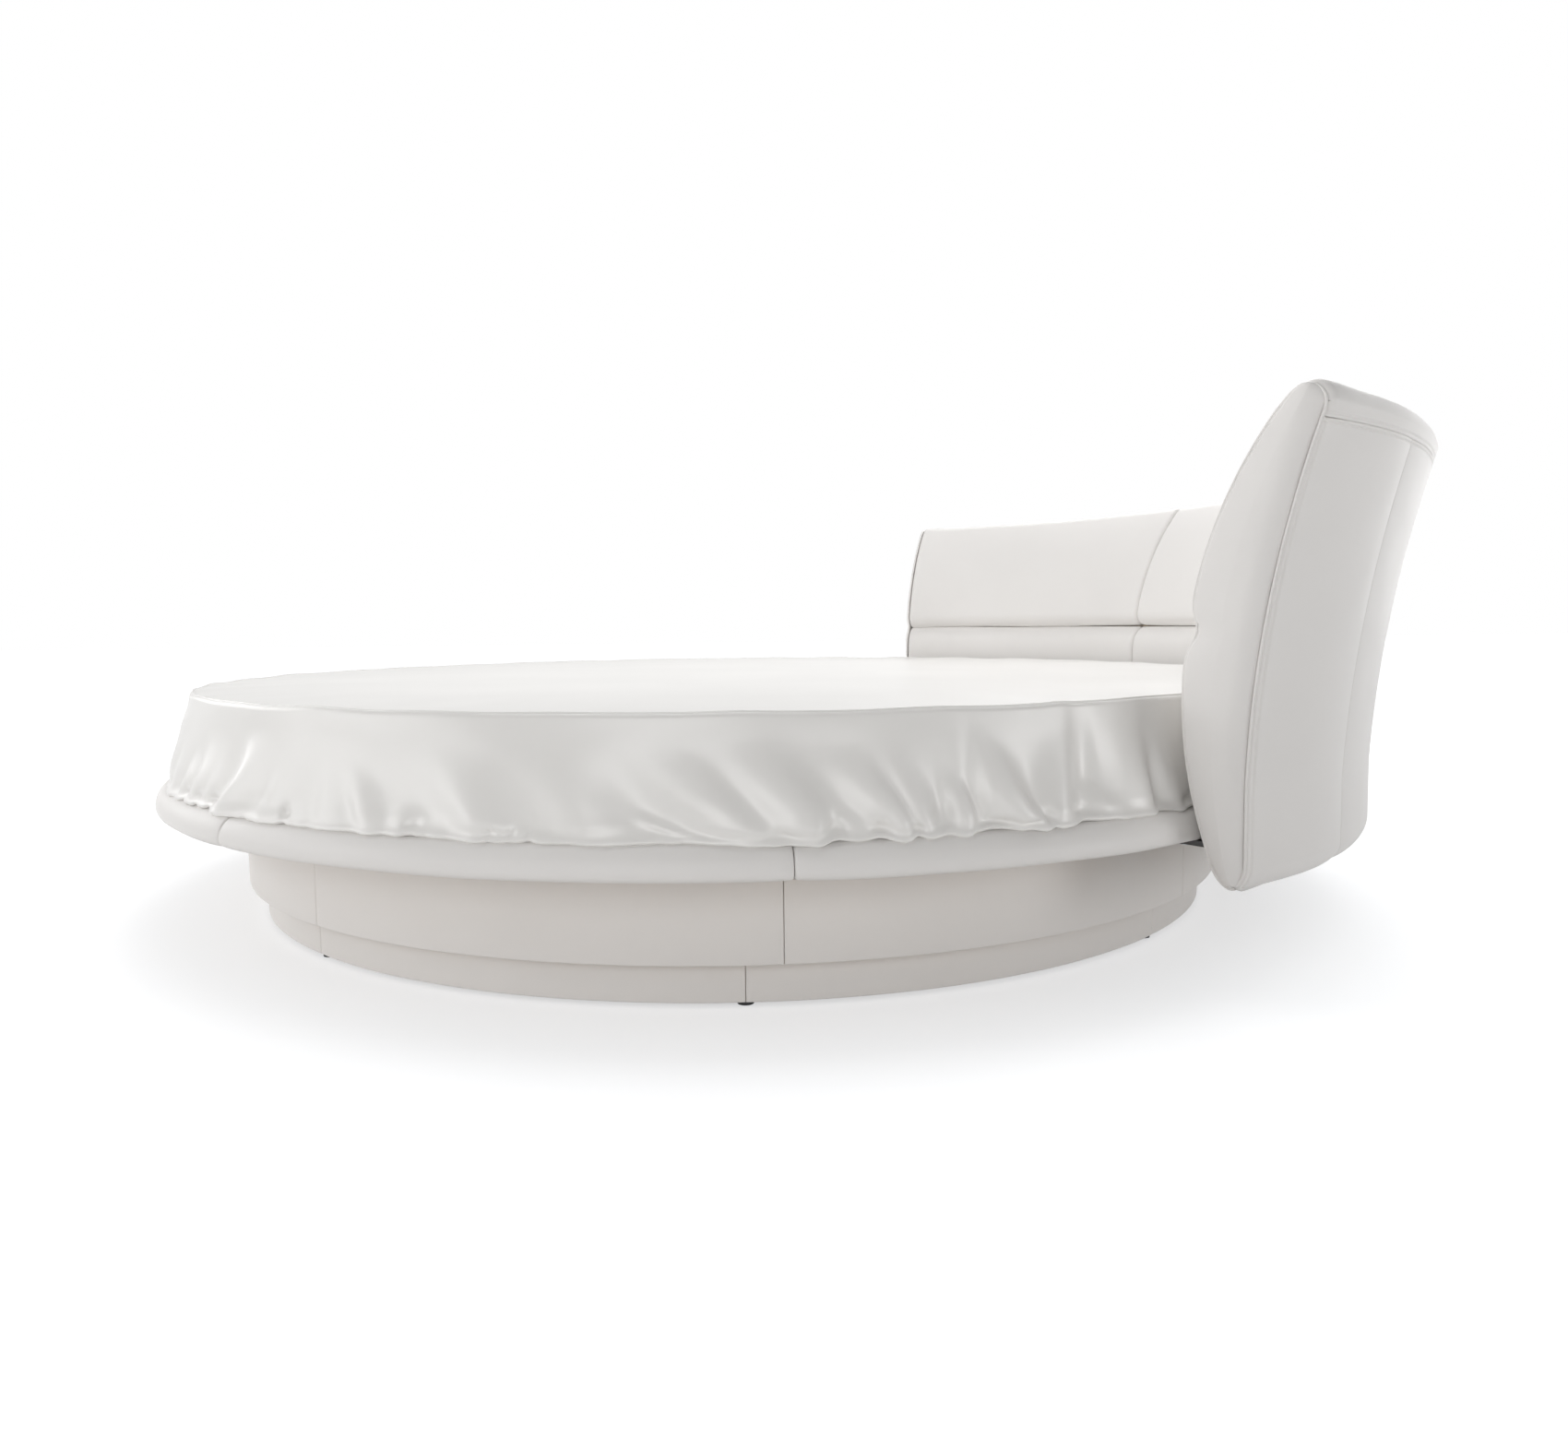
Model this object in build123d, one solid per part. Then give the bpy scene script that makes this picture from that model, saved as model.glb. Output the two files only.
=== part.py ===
from build123d import *
import os
from math import cos, hypot, radians, sin, sqrt

# A round bed on a recessed swivel plinth, with a curved, leaning, padded headboard.
# Millimetres, +Z up. The origin is on the floor on the bed's axis, and +Y points to the headboard.
# Polar angles are in degrees from +X, and the headboard's middle is at 90.

os.makedirs("parts", exist_ok=True)

# Clearances
fit_gap = 0.3           # between a padded piece and what it covers or lies on
seam_gap = 1.2          # between two leather panels side by side
bolt_gap = 0.1          # round a bolt, a screw or the pivot
overrun = 5.0           # how far a cutting tool reaches past what it cuts

# Leather panels and sections round the bed
panel_count = 8
panel_angle = 360 / panel_count
panel_turn = 0.45       # degrees from the headboard's middle line to the nearest seams
cover_thickness = 6.0
cover_edge_radius = 1.5

# Glides under the plinth's seams
glide_diameter = 24.0
glide_height = 6.0
glide_inset = 18.0      # from the plinth's face to a glide's middle

# Plinth, turned a little against the bed that stands on it
plinth_recess = 31.0        # from the base's face in to the plinth's
plinth_height = 60.0
plinth_turn = -2.6      # degrees
hoop_thickness = 18.0
plinth_beam_width = 44.0
plinth_beam_height = 40.0
hub_radius = 150.0

# Turntable
swivel_gap = 3.0        # shadow gap between the plinth and the base
plate_thickness = 5.0
plate_radius = 240.0
slide_ring_radius = 225.0
slide_ring_bore = 110.0
pivot_radius = 25.0
pad_width = 40.0
pad_length = 60.0
pad_inset = 12.0        # from the plinth hoop to a slide pad

# Base tier
base_height = 150.0
bottom_ledge_width = 116.0
bottom_ledge_thickness = 18.0
base_beam_width = 44.0

# Slats and the ledge that carries them
slat_width = 70.0
slat_thickness = 12.0
slat_pitch = 112.0
slat_end_gap = 4.0
slat_ledge_width = 47.0
slat_ledge_height = 20.0
centre_gap = 6.0        # between the left and the right slats

# Rim, a board with padded leather sections over its edge
rim_width = 62.5            # of the leather that shows round the mattress
rim_overhang = 146.5        # from the base's face out to the rim's
rim_height = 49.0
rim_board_thickness = 18.0
rim_nose_thickness = 21.5   # padding in front of the board's edge
rim_top_radius = 37.0
rim_bottom_tuck = 12.0      # how far the nose draws in at the bottom
rim_inner_round = 8.0
rim_end_radius = 2.5

# Mattress
mattress_radius = 1100.0
mattress_height = 192.0
mattress_crown = 5.0
mattress_top_round = 22.0
mattress_bottom_round = 12.0
mattress_side_swell = 4.0
rim_to_mattress = 5.0

# Fitted sheet, full and gathered at the foot of the mattress
sheet_thickness = 3.0
sheet_fold_count = 44
sheet_swell = 34.0          # how far the sheet stands out from the mattress low down
sheet_hem_gap = 0.6         # above the rim
fold_depth = 9.0
fold_wander_share = 0.32    # of one fold's width, how far a fold strays from an even spacing
fold_wander_turn = 2.4      # radians of the wander's wave from one fold to the next
fold_least_dip_share = 0.2  # of the deepest dip between two folds
fold_dip_turn = 1.7         # radians of the dips' wave from one fold to the next
fold_heights_share = (0.0, 0.07, 0.2, 0.5, 0.86)    # up the side, from the hem to the shoulder
fold_swell_shares = (0.78, 1.0, 0.88, 0.52, 0.2)
fold_depth_shares = (1.0, 0.85, 0.5, 0.14, 0.0)

# Headboard
headboard_half_angle = 59.25
headboard_overhang = 17.5   # how far its cushions stand in over the rim
headboard_depth = 204.0     # of the section, from its front to its back
headboard_rise = 687.0
headboard_floor_gap = 163.0
front_pad = 42.0
back_pad = 10.0
back_swell = 22.0           # how far the back's padding stands out between the ends
back_top_swell_share = 0.4
cushion_seam_angle = 19.5
back_seam_angles_share = (-0.783, -0.261, 0.261, 0.783)     # of the half angle
back_swell_angle = 9.0      # over which the swell dies away towards an end panel
back_end_swell_shares = (0.1, 0.72, 1.0)    # from the end panel inwards, over that angle
cushion_edge_radius = 9.0
end_panel_thickness = 9.0
end_panel_edge_radius = 4.0
tuck_gap = 1.6

# Headboard section, as shares of its depth and of its rise
bottom_share = (0.451, 0.0)
front_foot_share = (0.275, 0.0335)
lower_front_shares = ((0.044, 0.2475), (0.005, 0.461))
tuck_share = (0.175, 0.539)
upper_front_foot_share = (0.069, 0.589)
upper_front_shares = ((0.314, 0.799), (0.735, 0.983))
back_top_share = (1.0, 0.956)
back_shares = ((0.652, 0.584), (0.52, 0.199))
back_foot_share = (0.5245, 0.054)
back_seam_rise_share = 0.927
back_seam_depth_share = 0.88

# Brackets that carry the headboard
bracket_angles_share = (-0.95, -0.31, 0.31, 0.95)   # of the half angle
bracket_width = 50.0
bracket_thickness = 8.0
bracket_upright = 200.0
bracket_inset = 24.0        # from the base's face out to a bracket's end
bracket_cover = 1.0         # from the upright to the core's back
bolt_radius = 4.0
bolt_head_radius = 8.0
bolt_head_height = 5.0
bolt_grip = 14.0            # how far a bolt or screw goes into the wood
bolt_edge = 22.0            # from a bracket's end to its first bolt
bolt_spacing = 60.0
screw_grip = 24.0
screw_spacing = 90.0
screw_rise = 50.0           # from the level leg to the first screw

# Heights and radii that follow from the sizes above
plinth_bottom = glide_height
plinth_top = plinth_bottom + plinth_height
base_bottom = plinth_top + swivel_gap
base_top = base_bottom + base_height
rim_top = base_top + rim_height
rim_inner = mattress_radius + rim_to_mattress
rim_radius = rim_inner + rim_width
base_radius = rim_radius - rim_overhang
plinth_radius = base_radius - plinth_recess
board_top = base_top + rim_board_thickness
slat_bottom = board_top - slat_thickness
plinth_hoop_outer = plinth_radius - cover_thickness - fit_gap
plinth_hoop_inner = plinth_hoop_outer - hoop_thickness
base_hoop_outer = base_radius - cover_thickness - fit_gap
base_hoop_inner = base_hoop_outer - hoop_thickness
rim_board_outer = rim_radius - rim_nose_thickness
mattress_bottom = board_top + fit_gap
mattress_top = mattress_bottom + mattress_height
plinth_beam_top = plinth_bottom + plinth_beam_height
headboard_middle = 90
headboard_inner = rim_radius - headboard_overhang


def save(name, *solids):
    """Write one node. Several solids in it stay separate."""
    export_step(solids[0] if len(solids) == 1 else Compound(children=list(solids)), f"parts/{name}.step")


def at_angle(shape, degrees):
    return Rot(Z=degrees) * shape


def polar(radius, degrees, height):
    return Vector(radius * cos(radians(degrees)), radius * sin(radians(degrees)), height)


def block(x_range, y_range, z_range):
    """A box between two corners, given as its range along each axis."""
    sizes = [high - low for low, high in (x_range, y_range, z_range)]
    middle = [(low + high) / 2 for low, high in (x_range, y_range, z_range)]
    return Pos(*middle) * Box(*sizes)


def disc(radius, bottom, top):
    return Pos(Z=bottom) * Cylinder(radius, top - bottom, align=(Align.CENTER, Align.CENTER, Align.MIN))


def ring(inner, outer, bottom, top):
    return disc(outer, bottom, top) - disc(inner, bottom - overrun, top + overrun)


def turned(section, start, sweep):
    """A section, drawn with x as the radius and y as the height, carried round Z over a sweep."""
    return at_angle(revolve(Plane.XZ * section, Axis.Z, sweep), start)


def rectangle(low_corner, high_corner):
    (x0, y0), (x1, y1) = low_corner, high_corner
    return make_face(Polyline((x0, y0), (x1, y0), (x1, y1), (x0, y1), close=True))


def segments(inner, outer, bottom, top, turn=0):
    """The butt-jointed lengths of a bent hoop or of a ring of boards."""
    section = rectangle((inner, bottom), (outer, top))
    return [turned(section, turn + number * panel_angle, panel_angle) for number in range(panel_count)]


def end_edges(piece, end_angles, outline, reach):
    """The edges of a turned piece that lie on an end face and along its outline, which is drawn flat."""
    def on_end(point):
        radius = hypot(point.X, point.Y)
        return any((point - polar(radius, angle, point.Z)).length < reach for angle in end_angles)

    chosen = ShapeList()
    for edge in piece.edges():
        middle = edge @ 0.5
        flat = Vertex(hypot(middle.X, middle.Y), middle.Z)
        if on_end(edge @ 0) and on_end(middle) and outline.distance_to(flat) < reach:
            chosen.append(edge)
    return chosen


def round_the_plinth(shape):
    """Copies of a shape, one at each of the plinth's seams."""
    return [at_angle(shape, plinth_turn + number * panel_angle) for number in range(panel_count)]


# Plinth frame: a bent hoop round a star of beams, glued to a hub
def plinth_frame():
    hoop = segments(plinth_hoop_inner, plinth_hoop_outer, plinth_bottom, plinth_top, plinth_turn)
    save("plinth_hoop", *hoop)
    pivot_hole = disc(pivot_radius + bolt_gap, plinth_bottom - overrun, plinth_beam_top + overrun)
    save("plinth_hub", disc(hub_radius, plinth_bottom, plinth_beam_top) - pivot_hole)
    beam = block((0, plinth_hoop_inner - fit_gap), (-plinth_beam_width / 2, plinth_beam_width / 2),
                 (plinth_bottom, plinth_beam_top)) - disc(hub_radius + fit_gap, 0, plinth_top)
    save("plinth_beams", *round_the_plinth(beam))


# Padded leather panels, one node each, wrapped round a hoop
def leather_panels(name, radius, bottom, top, turn):
    section = rectangle((radius - cover_thickness, bottom), (radius, top))
    outer_corners = section.vertices().sort_by(Axis.X)[-2:]
    section = fillet(outer_corners, cover_edge_radius)
    seam_angle = seam_gap / radians(radius)
    for number in range(panel_count):
        start, sweep = turn + number * panel_angle + seam_angle / 2, panel_angle - seam_angle
        panel = turned(section, start, sweep)
        face_edges = [edge for edge in panel.edges().filter_by(GeomType.LINE)
                      if hypot(edge.center().X, edge.center().Y) > radius - cover_edge_radius / 2
                      and edge.length > cover_thickness]
        save(f"{name}_{number + 1}", fillet(face_edges, cover_edge_radius / 2))


def floor_glides():
    glide = Pos(X=plinth_radius - glide_inset) * disc(glide_diameter / 2, 0, glide_height)
    save("floor_glides", *round_the_plinth(glide))
    save("centre_glide", disc(glide_diameter, 0, glide_height))     # twice as wide as the others


# Turntable: plate, slide ring and pivot on the plinth, with a plate under the base
def turntable():
    lower_top = plinth_beam_top + plate_thickness
    upper_bottom = base_bottom - plate_thickness
    bore = pivot_radius + bolt_gap
    save("turntable_lower_plate", ring(bore, plate_radius, plinth_beam_top, lower_top))
    ring_top = upper_bottom - fit_gap
    save("turntable_slide_ring", ring(slide_ring_bore, slide_ring_radius, lower_top, ring_top))
    save("turntable_upper_plate", ring(bore, plate_radius, upper_bottom, base_bottom))
    save("centre_pivot", disc(pivot_radius, plinth_bottom, base_bottom - fit_gap))
    pad_outer = plinth_hoop_inner - pad_inset
    pad = block((pad_outer - pad_length, pad_outer), (-pad_width / 2, pad_width / 2),
                (plinth_beam_top, base_bottom - fit_gap))
    pad_edges = pad.edges().filter_by(Axis.Z)
    save("slide_pads", *round_the_plinth(fillet(pad_edges, cover_thickness)))


# Base frame: a hoop with a ledge inside it at the bottom and the top, and two halved beams across
def base_frame():
    save("base_hoop", *segments(base_hoop_inner, base_hoop_outer, base_bottom, base_top))
    ledge_outer = base_hoop_inner - fit_gap
    bottom_ledge_inner = ledge_outer - bottom_ledge_width
    bottom_ledge_top = base_bottom + bottom_ledge_thickness
    save("bottom_ledge", *segments(bottom_ledge_inner, ledge_outer, base_bottom, bottom_ledge_top))
    slat_ledge_inner = ledge_outer - slat_ledge_width
    slat_ledge_bottom = slat_bottom - slat_ledge_height
    save("slat_ledge", *segments(slat_ledge_inner, ledge_outer, slat_ledge_bottom, slat_bottom))
    half_width = base_beam_width / 2
    long_beam = block((-half_width, half_width), (-ledge_outer, ledge_outer), (base_bottom, slat_bottom))
    long_beam -= ring(bottom_ledge_inner, ledge_outer + overrun, base_bottom, bottom_ledge_top)
    long_beam -= ring(slat_ledge_inner, ledge_outer + overrun, slat_ledge_bottom, slat_bottom)
    middle_height = (base_bottom + slat_bottom) / 2
    across = (-half_width - overrun, half_width + overrun)
    between = (-half_width, half_width)
    lower_notch = block(across, between, (base_bottom - overrun, middle_height))
    upper_notch = block(between, across, (middle_height, slat_bottom + overrun))
    save("long_beam", long_beam - lower_notch)
    save("cross_beam", at_angle(long_beam, headboard_middle) - upper_notch)


# Sprung slats: a left and a right row, from the long beam to the ledge
def slats():
    reach = base_hoop_inner - slat_end_gap
    rows = int((reach - slat_width) / slat_pitch)
    for name, side in (("slats_right", 1), ("slats_left", -1)):
        row = []
        for number in range(-rows, rows + 1):
            middle = number * slat_pitch
            outer_edge = abs(middle) + slat_width / 2
            span = sorted((side * centre_gap / 2, side * sqrt(reach ** 2 - outer_edge ** 2)))
            slat = block(span, (middle - slat_width / 2, middle + slat_width / 2), (slat_bottom, board_top))
            row.append(fillet(slat.edges().filter_by(Axis.X), slat_thickness / 4))
        save(name, *row)


# Rim: a ring of boards, and eight padded sections that wrap over its edge
def rim(bolt_holes):
    boards = segments(base_hoop_inner, rim_board_outer, base_top, board_top)
    save("rim_board", *[board - bolt_holes for board in boards])
    board_side, board_face = rim_board_outer + fit_gap, board_top + fit_gap
    foot = rim_radius - rim_bottom_tuck
    inner_turn = (rim_inner + rim_inner_round, rim_top)
    inner_start = (rim_inner, rim_top - rim_inner_round)
    corner_share = 1 - sqrt(1 / 2)
    inner_middle = (rim_inner + rim_inner_round * corner_share, rim_top - rim_inner_round * corner_share)
    nose_start = (rim_radius - rim_top_radius, rim_top)
    nose_end = (rim_radius, rim_top - rim_top_radius)
    nose_middle = (rim_radius - rim_top_radius * corner_share, rim_top - rim_top_radius * corner_share)
    tuck_middle = (rim_radius - rim_bottom_tuck * corner_share,
                   base_top + (nose_end[1] - base_top) * corner_share)
    section = make_face([
        Line((board_side, base_top), (board_side, board_face)),
        Line((board_side, board_face), (rim_inner, board_face)),
        Line((rim_inner, board_face), inner_start),
        ThreePointArc(inner_start, inner_middle, inner_turn),
        Line(inner_turn, nose_start),
        ThreePointArc(nose_start, nose_middle, nose_end),
        ThreePointArc(nose_end, tuck_middle, (foot, base_top)),
        Line((foot, base_top), (board_side, base_top)),
    ])
    outline = section.face().outer_wire()
    seam_angle = seam_gap / radians(rim_radius)
    for number in range(panel_count):
        start, sweep = panel_turn + number * panel_angle + seam_angle / 2, panel_angle - seam_angle
        piece = turned(section, start, sweep)
        shown = [edge for edge in end_edges(piece, (start, start + sweep), outline, fit_gap)
                 if edge.center().Z > board_face + fit_gap or
                 hypot(edge.center().X, edge.center().Y) > foot - fit_gap]
        save(f"rim_section_{number + 1}", fillet(shown, rim_end_radius))


# Mattress: a round foam block with a crown, soft edges and slightly swelled sides
def mattress_section(grow):
    """Half of the mattress's outline, grown all round by one amount, and cut off at the axis."""
    radius, top, bottom = mattress_radius + grow, mattress_top + grow, mattress_bottom
    crown_reach = radius - mattress_top_round
    crown_ball = (crown_reach ** 2 + mattress_crown ** 2) / (2 * mattress_crown)
    crown_middle = top - crown_ball + sqrt(crown_ball ** 2 - (crown_reach / 2) ** 2)
    shoulder = top - mattress_crown - mattress_top_round
    top_edge = (crown_reach, top - mattress_crown)
    slant_share = sqrt(1 / 2)
    top_slant = mattress_top_round * slant_share
    top_middle = (crown_reach + top_slant, shoulder + top_slant)
    foot = bottom + mattress_bottom_round
    foot_radius = radius - mattress_side_swell
    foot_middle = (foot_radius - mattress_bottom_round * (1 - slant_share),
                   foot - mattress_bottom_round * slant_share)
    foot_end = (foot_radius - mattress_bottom_round, bottom)
    side_middle = (radius, (foot + shoulder) / 2 + mattress_side_swell)
    return make_face([
        Line((0, top), (0, bottom)),
        Line((0, bottom), foot_end),
        ThreePointArc(foot_end, foot_middle, (foot_radius, foot)),
        ThreePointArc((foot_radius, foot), side_middle, (radius, shoulder)),
        ThreePointArc((radius, shoulder), top_middle, top_edge),
        ThreePointArc(top_edge, (crown_reach / 2, crown_middle), (0, top)),
    ])


def fold_ring(height, radius, depth):
    """A closed line of shallow scallops round the bed: each fold is an arc, with a dip between folds."""
    width = 360 / sheet_fold_count
    numbers = range(sheet_fold_count)
    starts = [width * (number + fold_wander_share * sin(fold_wander_turn * number)) for number in numbers]
    middle_share = (1 + fold_least_dip_share) / 2
    dips = [depth * (middle_share + (1 - middle_share) * sin(fold_dip_turn * number)) for number in numbers]
    starts.append(360)
    dips.append(dips[0])
    arcs = []
    for number in numbers:
        first, last = starts[number], starts[number + 1]
        arcs.append(ThreePointArc(polar(radius - dips[number], first, height),
                                  polar(radius, (first + last) / 2, height),
                                  polar(radius - dips[number + 1], last, height)))
    return make_face(arcs)


def sheet_body(shrink):
    """The sheet's outside, or its inside where shrunk, from the hem up to the shoulder, with its folds."""
    hem = rim_top + sheet_hem_gap
    skin = fit_gap + sheet_thickness
    shoulder = mattress_top + skin - mattress_crown - mattress_top_round
    side = mattress_radius + skin
    rings = []
    levels = zip(fold_heights_share, fold_swell_shares, fold_depth_shares)
    for height_share, swell_share, depth_share in levels:
        height = hem + height_share * (shoulder - hem)
        radius = side + sheet_swell * swell_share - shrink
        rings.append(fold_ring(height, radius, fold_depth * depth_share))
    rings.append(fold_ring(shoulder, side - shrink, 0))
    return loft(rings, ruled=True)


def bedding():
    save("mattress", revolve(Plane.XZ * mattress_section(0), Axis.Z))
    skin = fit_gap + sheet_thickness
    shoulder = mattress_top + skin - mattress_crown - mattress_top_round
    over = rectangle((0, shoulder), (2 * mattress_radius, shoulder + mattress_height))
    cap = (mattress_section(skin) - mattress_section(fit_gap)) & over
    top_panel = revolve(Plane.XZ * cap, Axis.Z)
    save("sheet", top_panel, sheet_body(0) - sheet_body(sheet_thickness))


# Headboard section, drawn flat with x as the radius and y as the height
def section_point(share, swell=0):
    depth_share, rise_share = share
    return Vector(headboard_inner + depth_share * headboard_depth + swell,
                  headboard_floor_gap + rise_share * headboard_rise)


def back_lines(swell):
    """The back of the section, from the top nose down to the foot, as two arcs round a straight stretch."""
    top = section_point(back_top_share, swell * back_top_swell_share)
    back = ThreePointArc(top, section_point(back_shares[0], swell), section_point(back_shares[1], swell))
    straight = Line(back @ 1, section_point(back_foot_share, swell))
    foot = TangentArc(straight @ 1, section_point(bottom_share), tangent=straight % 1)
    return [back, straight, foot]


def headboard_outline(swell):
    """The padded section, with the tuck between its cushions. The swell moves its back outwards."""
    tuck = section_point(tuck_share)
    lower = ThreePointArc(section_point(front_foot_share), *map(section_point, lower_front_shares))
    foot = TangentArc(lower @ 0, section_point(bottom_share), tangent=-(lower % 0))
    lower_lip = TangentArc(lower @ 1, tuck, tangent=lower % 1)
    upper = ThreePointArc(section_point(upper_front_foot_share), *map(section_point, upper_front_shares))
    upper_lip = TangentArc(upper @ 0, tuck, tangent=-(upper % 0))
    back = back_lines(swell)
    nose = TangentArc(upper @ 1, back[0] @ 0, tangent=upper % 1)
    return make_face([foot, lower, lower_lip, upper_lip, upper, nose, *back])


def headboard_core_section(grow):
    """The core: the section drawn in by the back's padding, and by the cushions' where it faces the bed."""
    lower = ThreePointArc(section_point(front_foot_share), *map(section_point, lower_front_shares))
    foot = TangentArc(lower @ 0, section_point(bottom_share), tangent=-(lower % 0))
    upper = ThreePointArc(section_point(upper_front_foot_share), *map(section_point, upper_front_shares))
    back = back_lines(0)
    nose = TangentArc(upper @ 1, back[0] @ 0, tangent=upper % 1)
    smooth = make_face([foot, lower, Line(lower @ 1, upper @ 0), upper, nose, *back])
    drawn_in = offset(smooth, grow - back_pad, kind=Kind.INTERSECTION)
    return drawn_in & (Pos(X=front_pad - back_pad) * drawn_in)


def bracket_parts():
    """One bracket lying along +X, the space it needs, and its bolts, screws and their holes."""
    upright_outer = section_point(back_shares[1]).X - back_pad - bracket_cover
    upright_inner = upright_outer - bracket_thickness
    leg_inner = base_radius + bracket_inset
    leg_bottom = base_top - bracket_thickness
    upright_top = leg_bottom + bracket_upright
    half = bracket_width / 2
    bracket = block((leg_inner, upright_outer), (-half, half), (leg_bottom, base_top))
    bracket += block((upright_inner, upright_outer), (-half, half), (leg_bottom, upright_top))
    room = block((leg_inner, upright_outer + fit_gap), (-half - fit_gap, half + fit_gap),
                 (leg_bottom - fit_gap, base_top + fit_gap))
    room += block((upright_inner - fit_gap, upright_outer + back_pad), (-half - fit_gap, half + fit_gap),
                  (leg_bottom - fit_gap, upright_top + fit_gap))
    hole_radius = bolt_radius + bolt_gap
    fasteners, holes = [], []
    for number in range(2):
        place = Pos(X=leg_inner + bolt_edge + number * bolt_spacing)
        bolt = place * disc(bolt_radius, leg_bottom, base_top + bolt_grip)
        bolt += place * disc(bolt_head_radius, leg_bottom - bolt_head_height, leg_bottom)
        fasteners.append(bolt)
        holes.append(place * disc(hole_radius, leg_bottom - overrun, base_top + bolt_grip + bolt_gap))
        screw_height = base_top + screw_rise + number * screw_spacing
        lie = Pos(X=upright_outer, Z=screw_height) * Rot(Y=-90)
        fasteners.append(lie * disc(bolt_radius, 0, screw_grip))
        holes.append(lie * disc(hole_radius, -overrun, screw_grip + bolt_gap))
    hole_group = Compound(children=holes)
    return bracket - hole_group, room, fasteners, hole_group


def headboard_sections(swell):
    """The upper cushion, the lower cushion and the back cover round the core, as flat faces."""
    padding = headboard_outline(swell) - headboard_core_section(fit_gap)
    tuck = section_point(tuck_share)
    bottom = section_point(bottom_share)
    seam = section_point((back_seam_depth_share, back_seam_rise_share))
    core_front = section_point(lower_front_shares[1]).X + front_pad
    core_middle = (core_front + section_point(back_foot_share).X) / 2
    tuck_cut = rectangle((headboard_inner - overrun, tuck.Y - tuck_gap / 2),
                         (core_middle, tuck.Y + tuck_gap / 2))
    back_cut = rectangle((seam.X, seam.Y - seam_gap / 2),
                         (headboard_inner + 2 * headboard_depth, seam.Y + seam_gap / 2))
    bottom_cut = rectangle((bottom.X - seam_gap / 2, bottom.Y - overrun),
                           (bottom.X + seam_gap / 2, bottom.Y + front_pad))
    faces = (padding - tuck_cut - back_cut - bottom_cut).faces()
    back = faces.sort_by(Axis.X)[-1]
    front = ShapeList([face for face in faces if face.center().X < back.center().X - fit_gap])
    return front.sort_by(Axis.Y)[-1], front.sort_by(Axis.Y)[0], back


def headboard(rooms, bores):
    cap_angle = end_panel_thickness / radians(headboard_inner)
    first = headboard_middle - headboard_half_angle + cap_angle
    last = headboard_middle + headboard_half_angle - cap_angle
    core = turned(headboard_core_section(0), first, last - first)
    save("headboard_core", core - rooms - bores)

    upper, lower, back = headboard_sections(back_swell)
    outline = headboard_outline(back_swell).face().outer_wire()
    seam_angle = seam_gap / radians(headboard_inner)
    seams = [first, headboard_middle - cushion_seam_angle, headboard_middle + cushion_seam_angle, last]
    for number, (start, end) in enumerate(zip(seams, seams[1:])):
        begin, finish = start + seam_angle / 2, end - seam_angle / 2
        for name, face in (("upper", upper), ("lower", lower)):
            cushion = turned(face, begin, finish - begin)
            shown = end_edges(cushion, (begin, finish), outline, fit_gap)
            cushion = fillet(shown, cushion_edge_radius)
            save(f"headboard_{name}_cushion_{number + 1}", cushion - rooms if name == "lower" else cushion)

    core_room = turned(headboard_core_section(fit_gap), first - cap_angle, last - first + 2 * cap_angle)
    back_seams = [headboard_middle + share * headboard_half_angle for share in back_seam_angles_share]
    seams = [first, *back_seams, last]
    for number, (start, end) in enumerate(zip(seams, seams[1:])):
        begin, finish = start + seam_angle / 2, end - seam_angle / 2
        full_start = begin + back_swell_angle if start == first else begin
        full_end = finish - back_swell_angle if end == last else finish
        cover = turned(back, full_start, full_end - full_start)
        if start == first:
            cover += back_end(begin, 1)
        if end == last:
            cover += back_end(finish, -1)
        save(f"headboard_back_{number + 1}", cover - core_room)

    flat_outline = headboard_outline(0)
    flat_wire = flat_outline.face().outer_wire()
    ends = {"right": (first - cap_angle, first - cap_angle), "left": (last, last + cap_angle)}
    for name, (begin, outer) in ends.items():
        panel = turned(flat_outline, begin, cap_angle)
        rounded = end_edges(panel, (outer,), flat_wire, fit_gap)
        save(f"headboard_end_{name}", fillet(rounded, end_panel_edge_radius))


def back_end(outer, side):
    """The end of the back cover, whose swell dies away towards the end panel at the outer angle."""
    steps = len(back_end_swell_shares) - 1
    sections = []
    for number, share in enumerate(back_end_swell_shares):
        section = headboard_sections(back_swell * share)[2]
        angle = outer + side * back_swell_angle * (number / steps)
        sections.append(at_angle(Plane.XZ * section, angle))
    return loft(sections, ruled=True)


def brackets():
    """The brackets with their fasteners, and the room and the holes that other pieces leave for them."""
    bracket, room, fasteners, holes = bracket_parts()
    places = [headboard_middle + share * headboard_half_angle for share in bracket_angles_share]
    save("headboard_brackets", *[at_angle(bracket, place) for place in places])
    save("bracket_bolts", *[at_angle(piece, place) for place in places for piece in fasteners])
    return (Compound(children=[at_angle(room, place) for place in places]),
            Compound(children=[at_angle(holes, place) for place in places]))


def main():
    plinth_frame()
    leather_panels("plinth_cover", plinth_radius, plinth_bottom, plinth_top, plinth_turn)
    floor_glides()
    turntable()
    base_frame()
    leather_panels("base_cover", base_radius, base_bottom, base_top - fit_gap, panel_turn)
    slats()
    rooms, bores = brackets()
    rim(bores)
    bedding()
    headboard(rooms, bores)


main()
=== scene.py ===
from math import cos, radians, sin
import bmesh
import bpy
import numpy as np
from mathutils import Matrix, Vector


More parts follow.
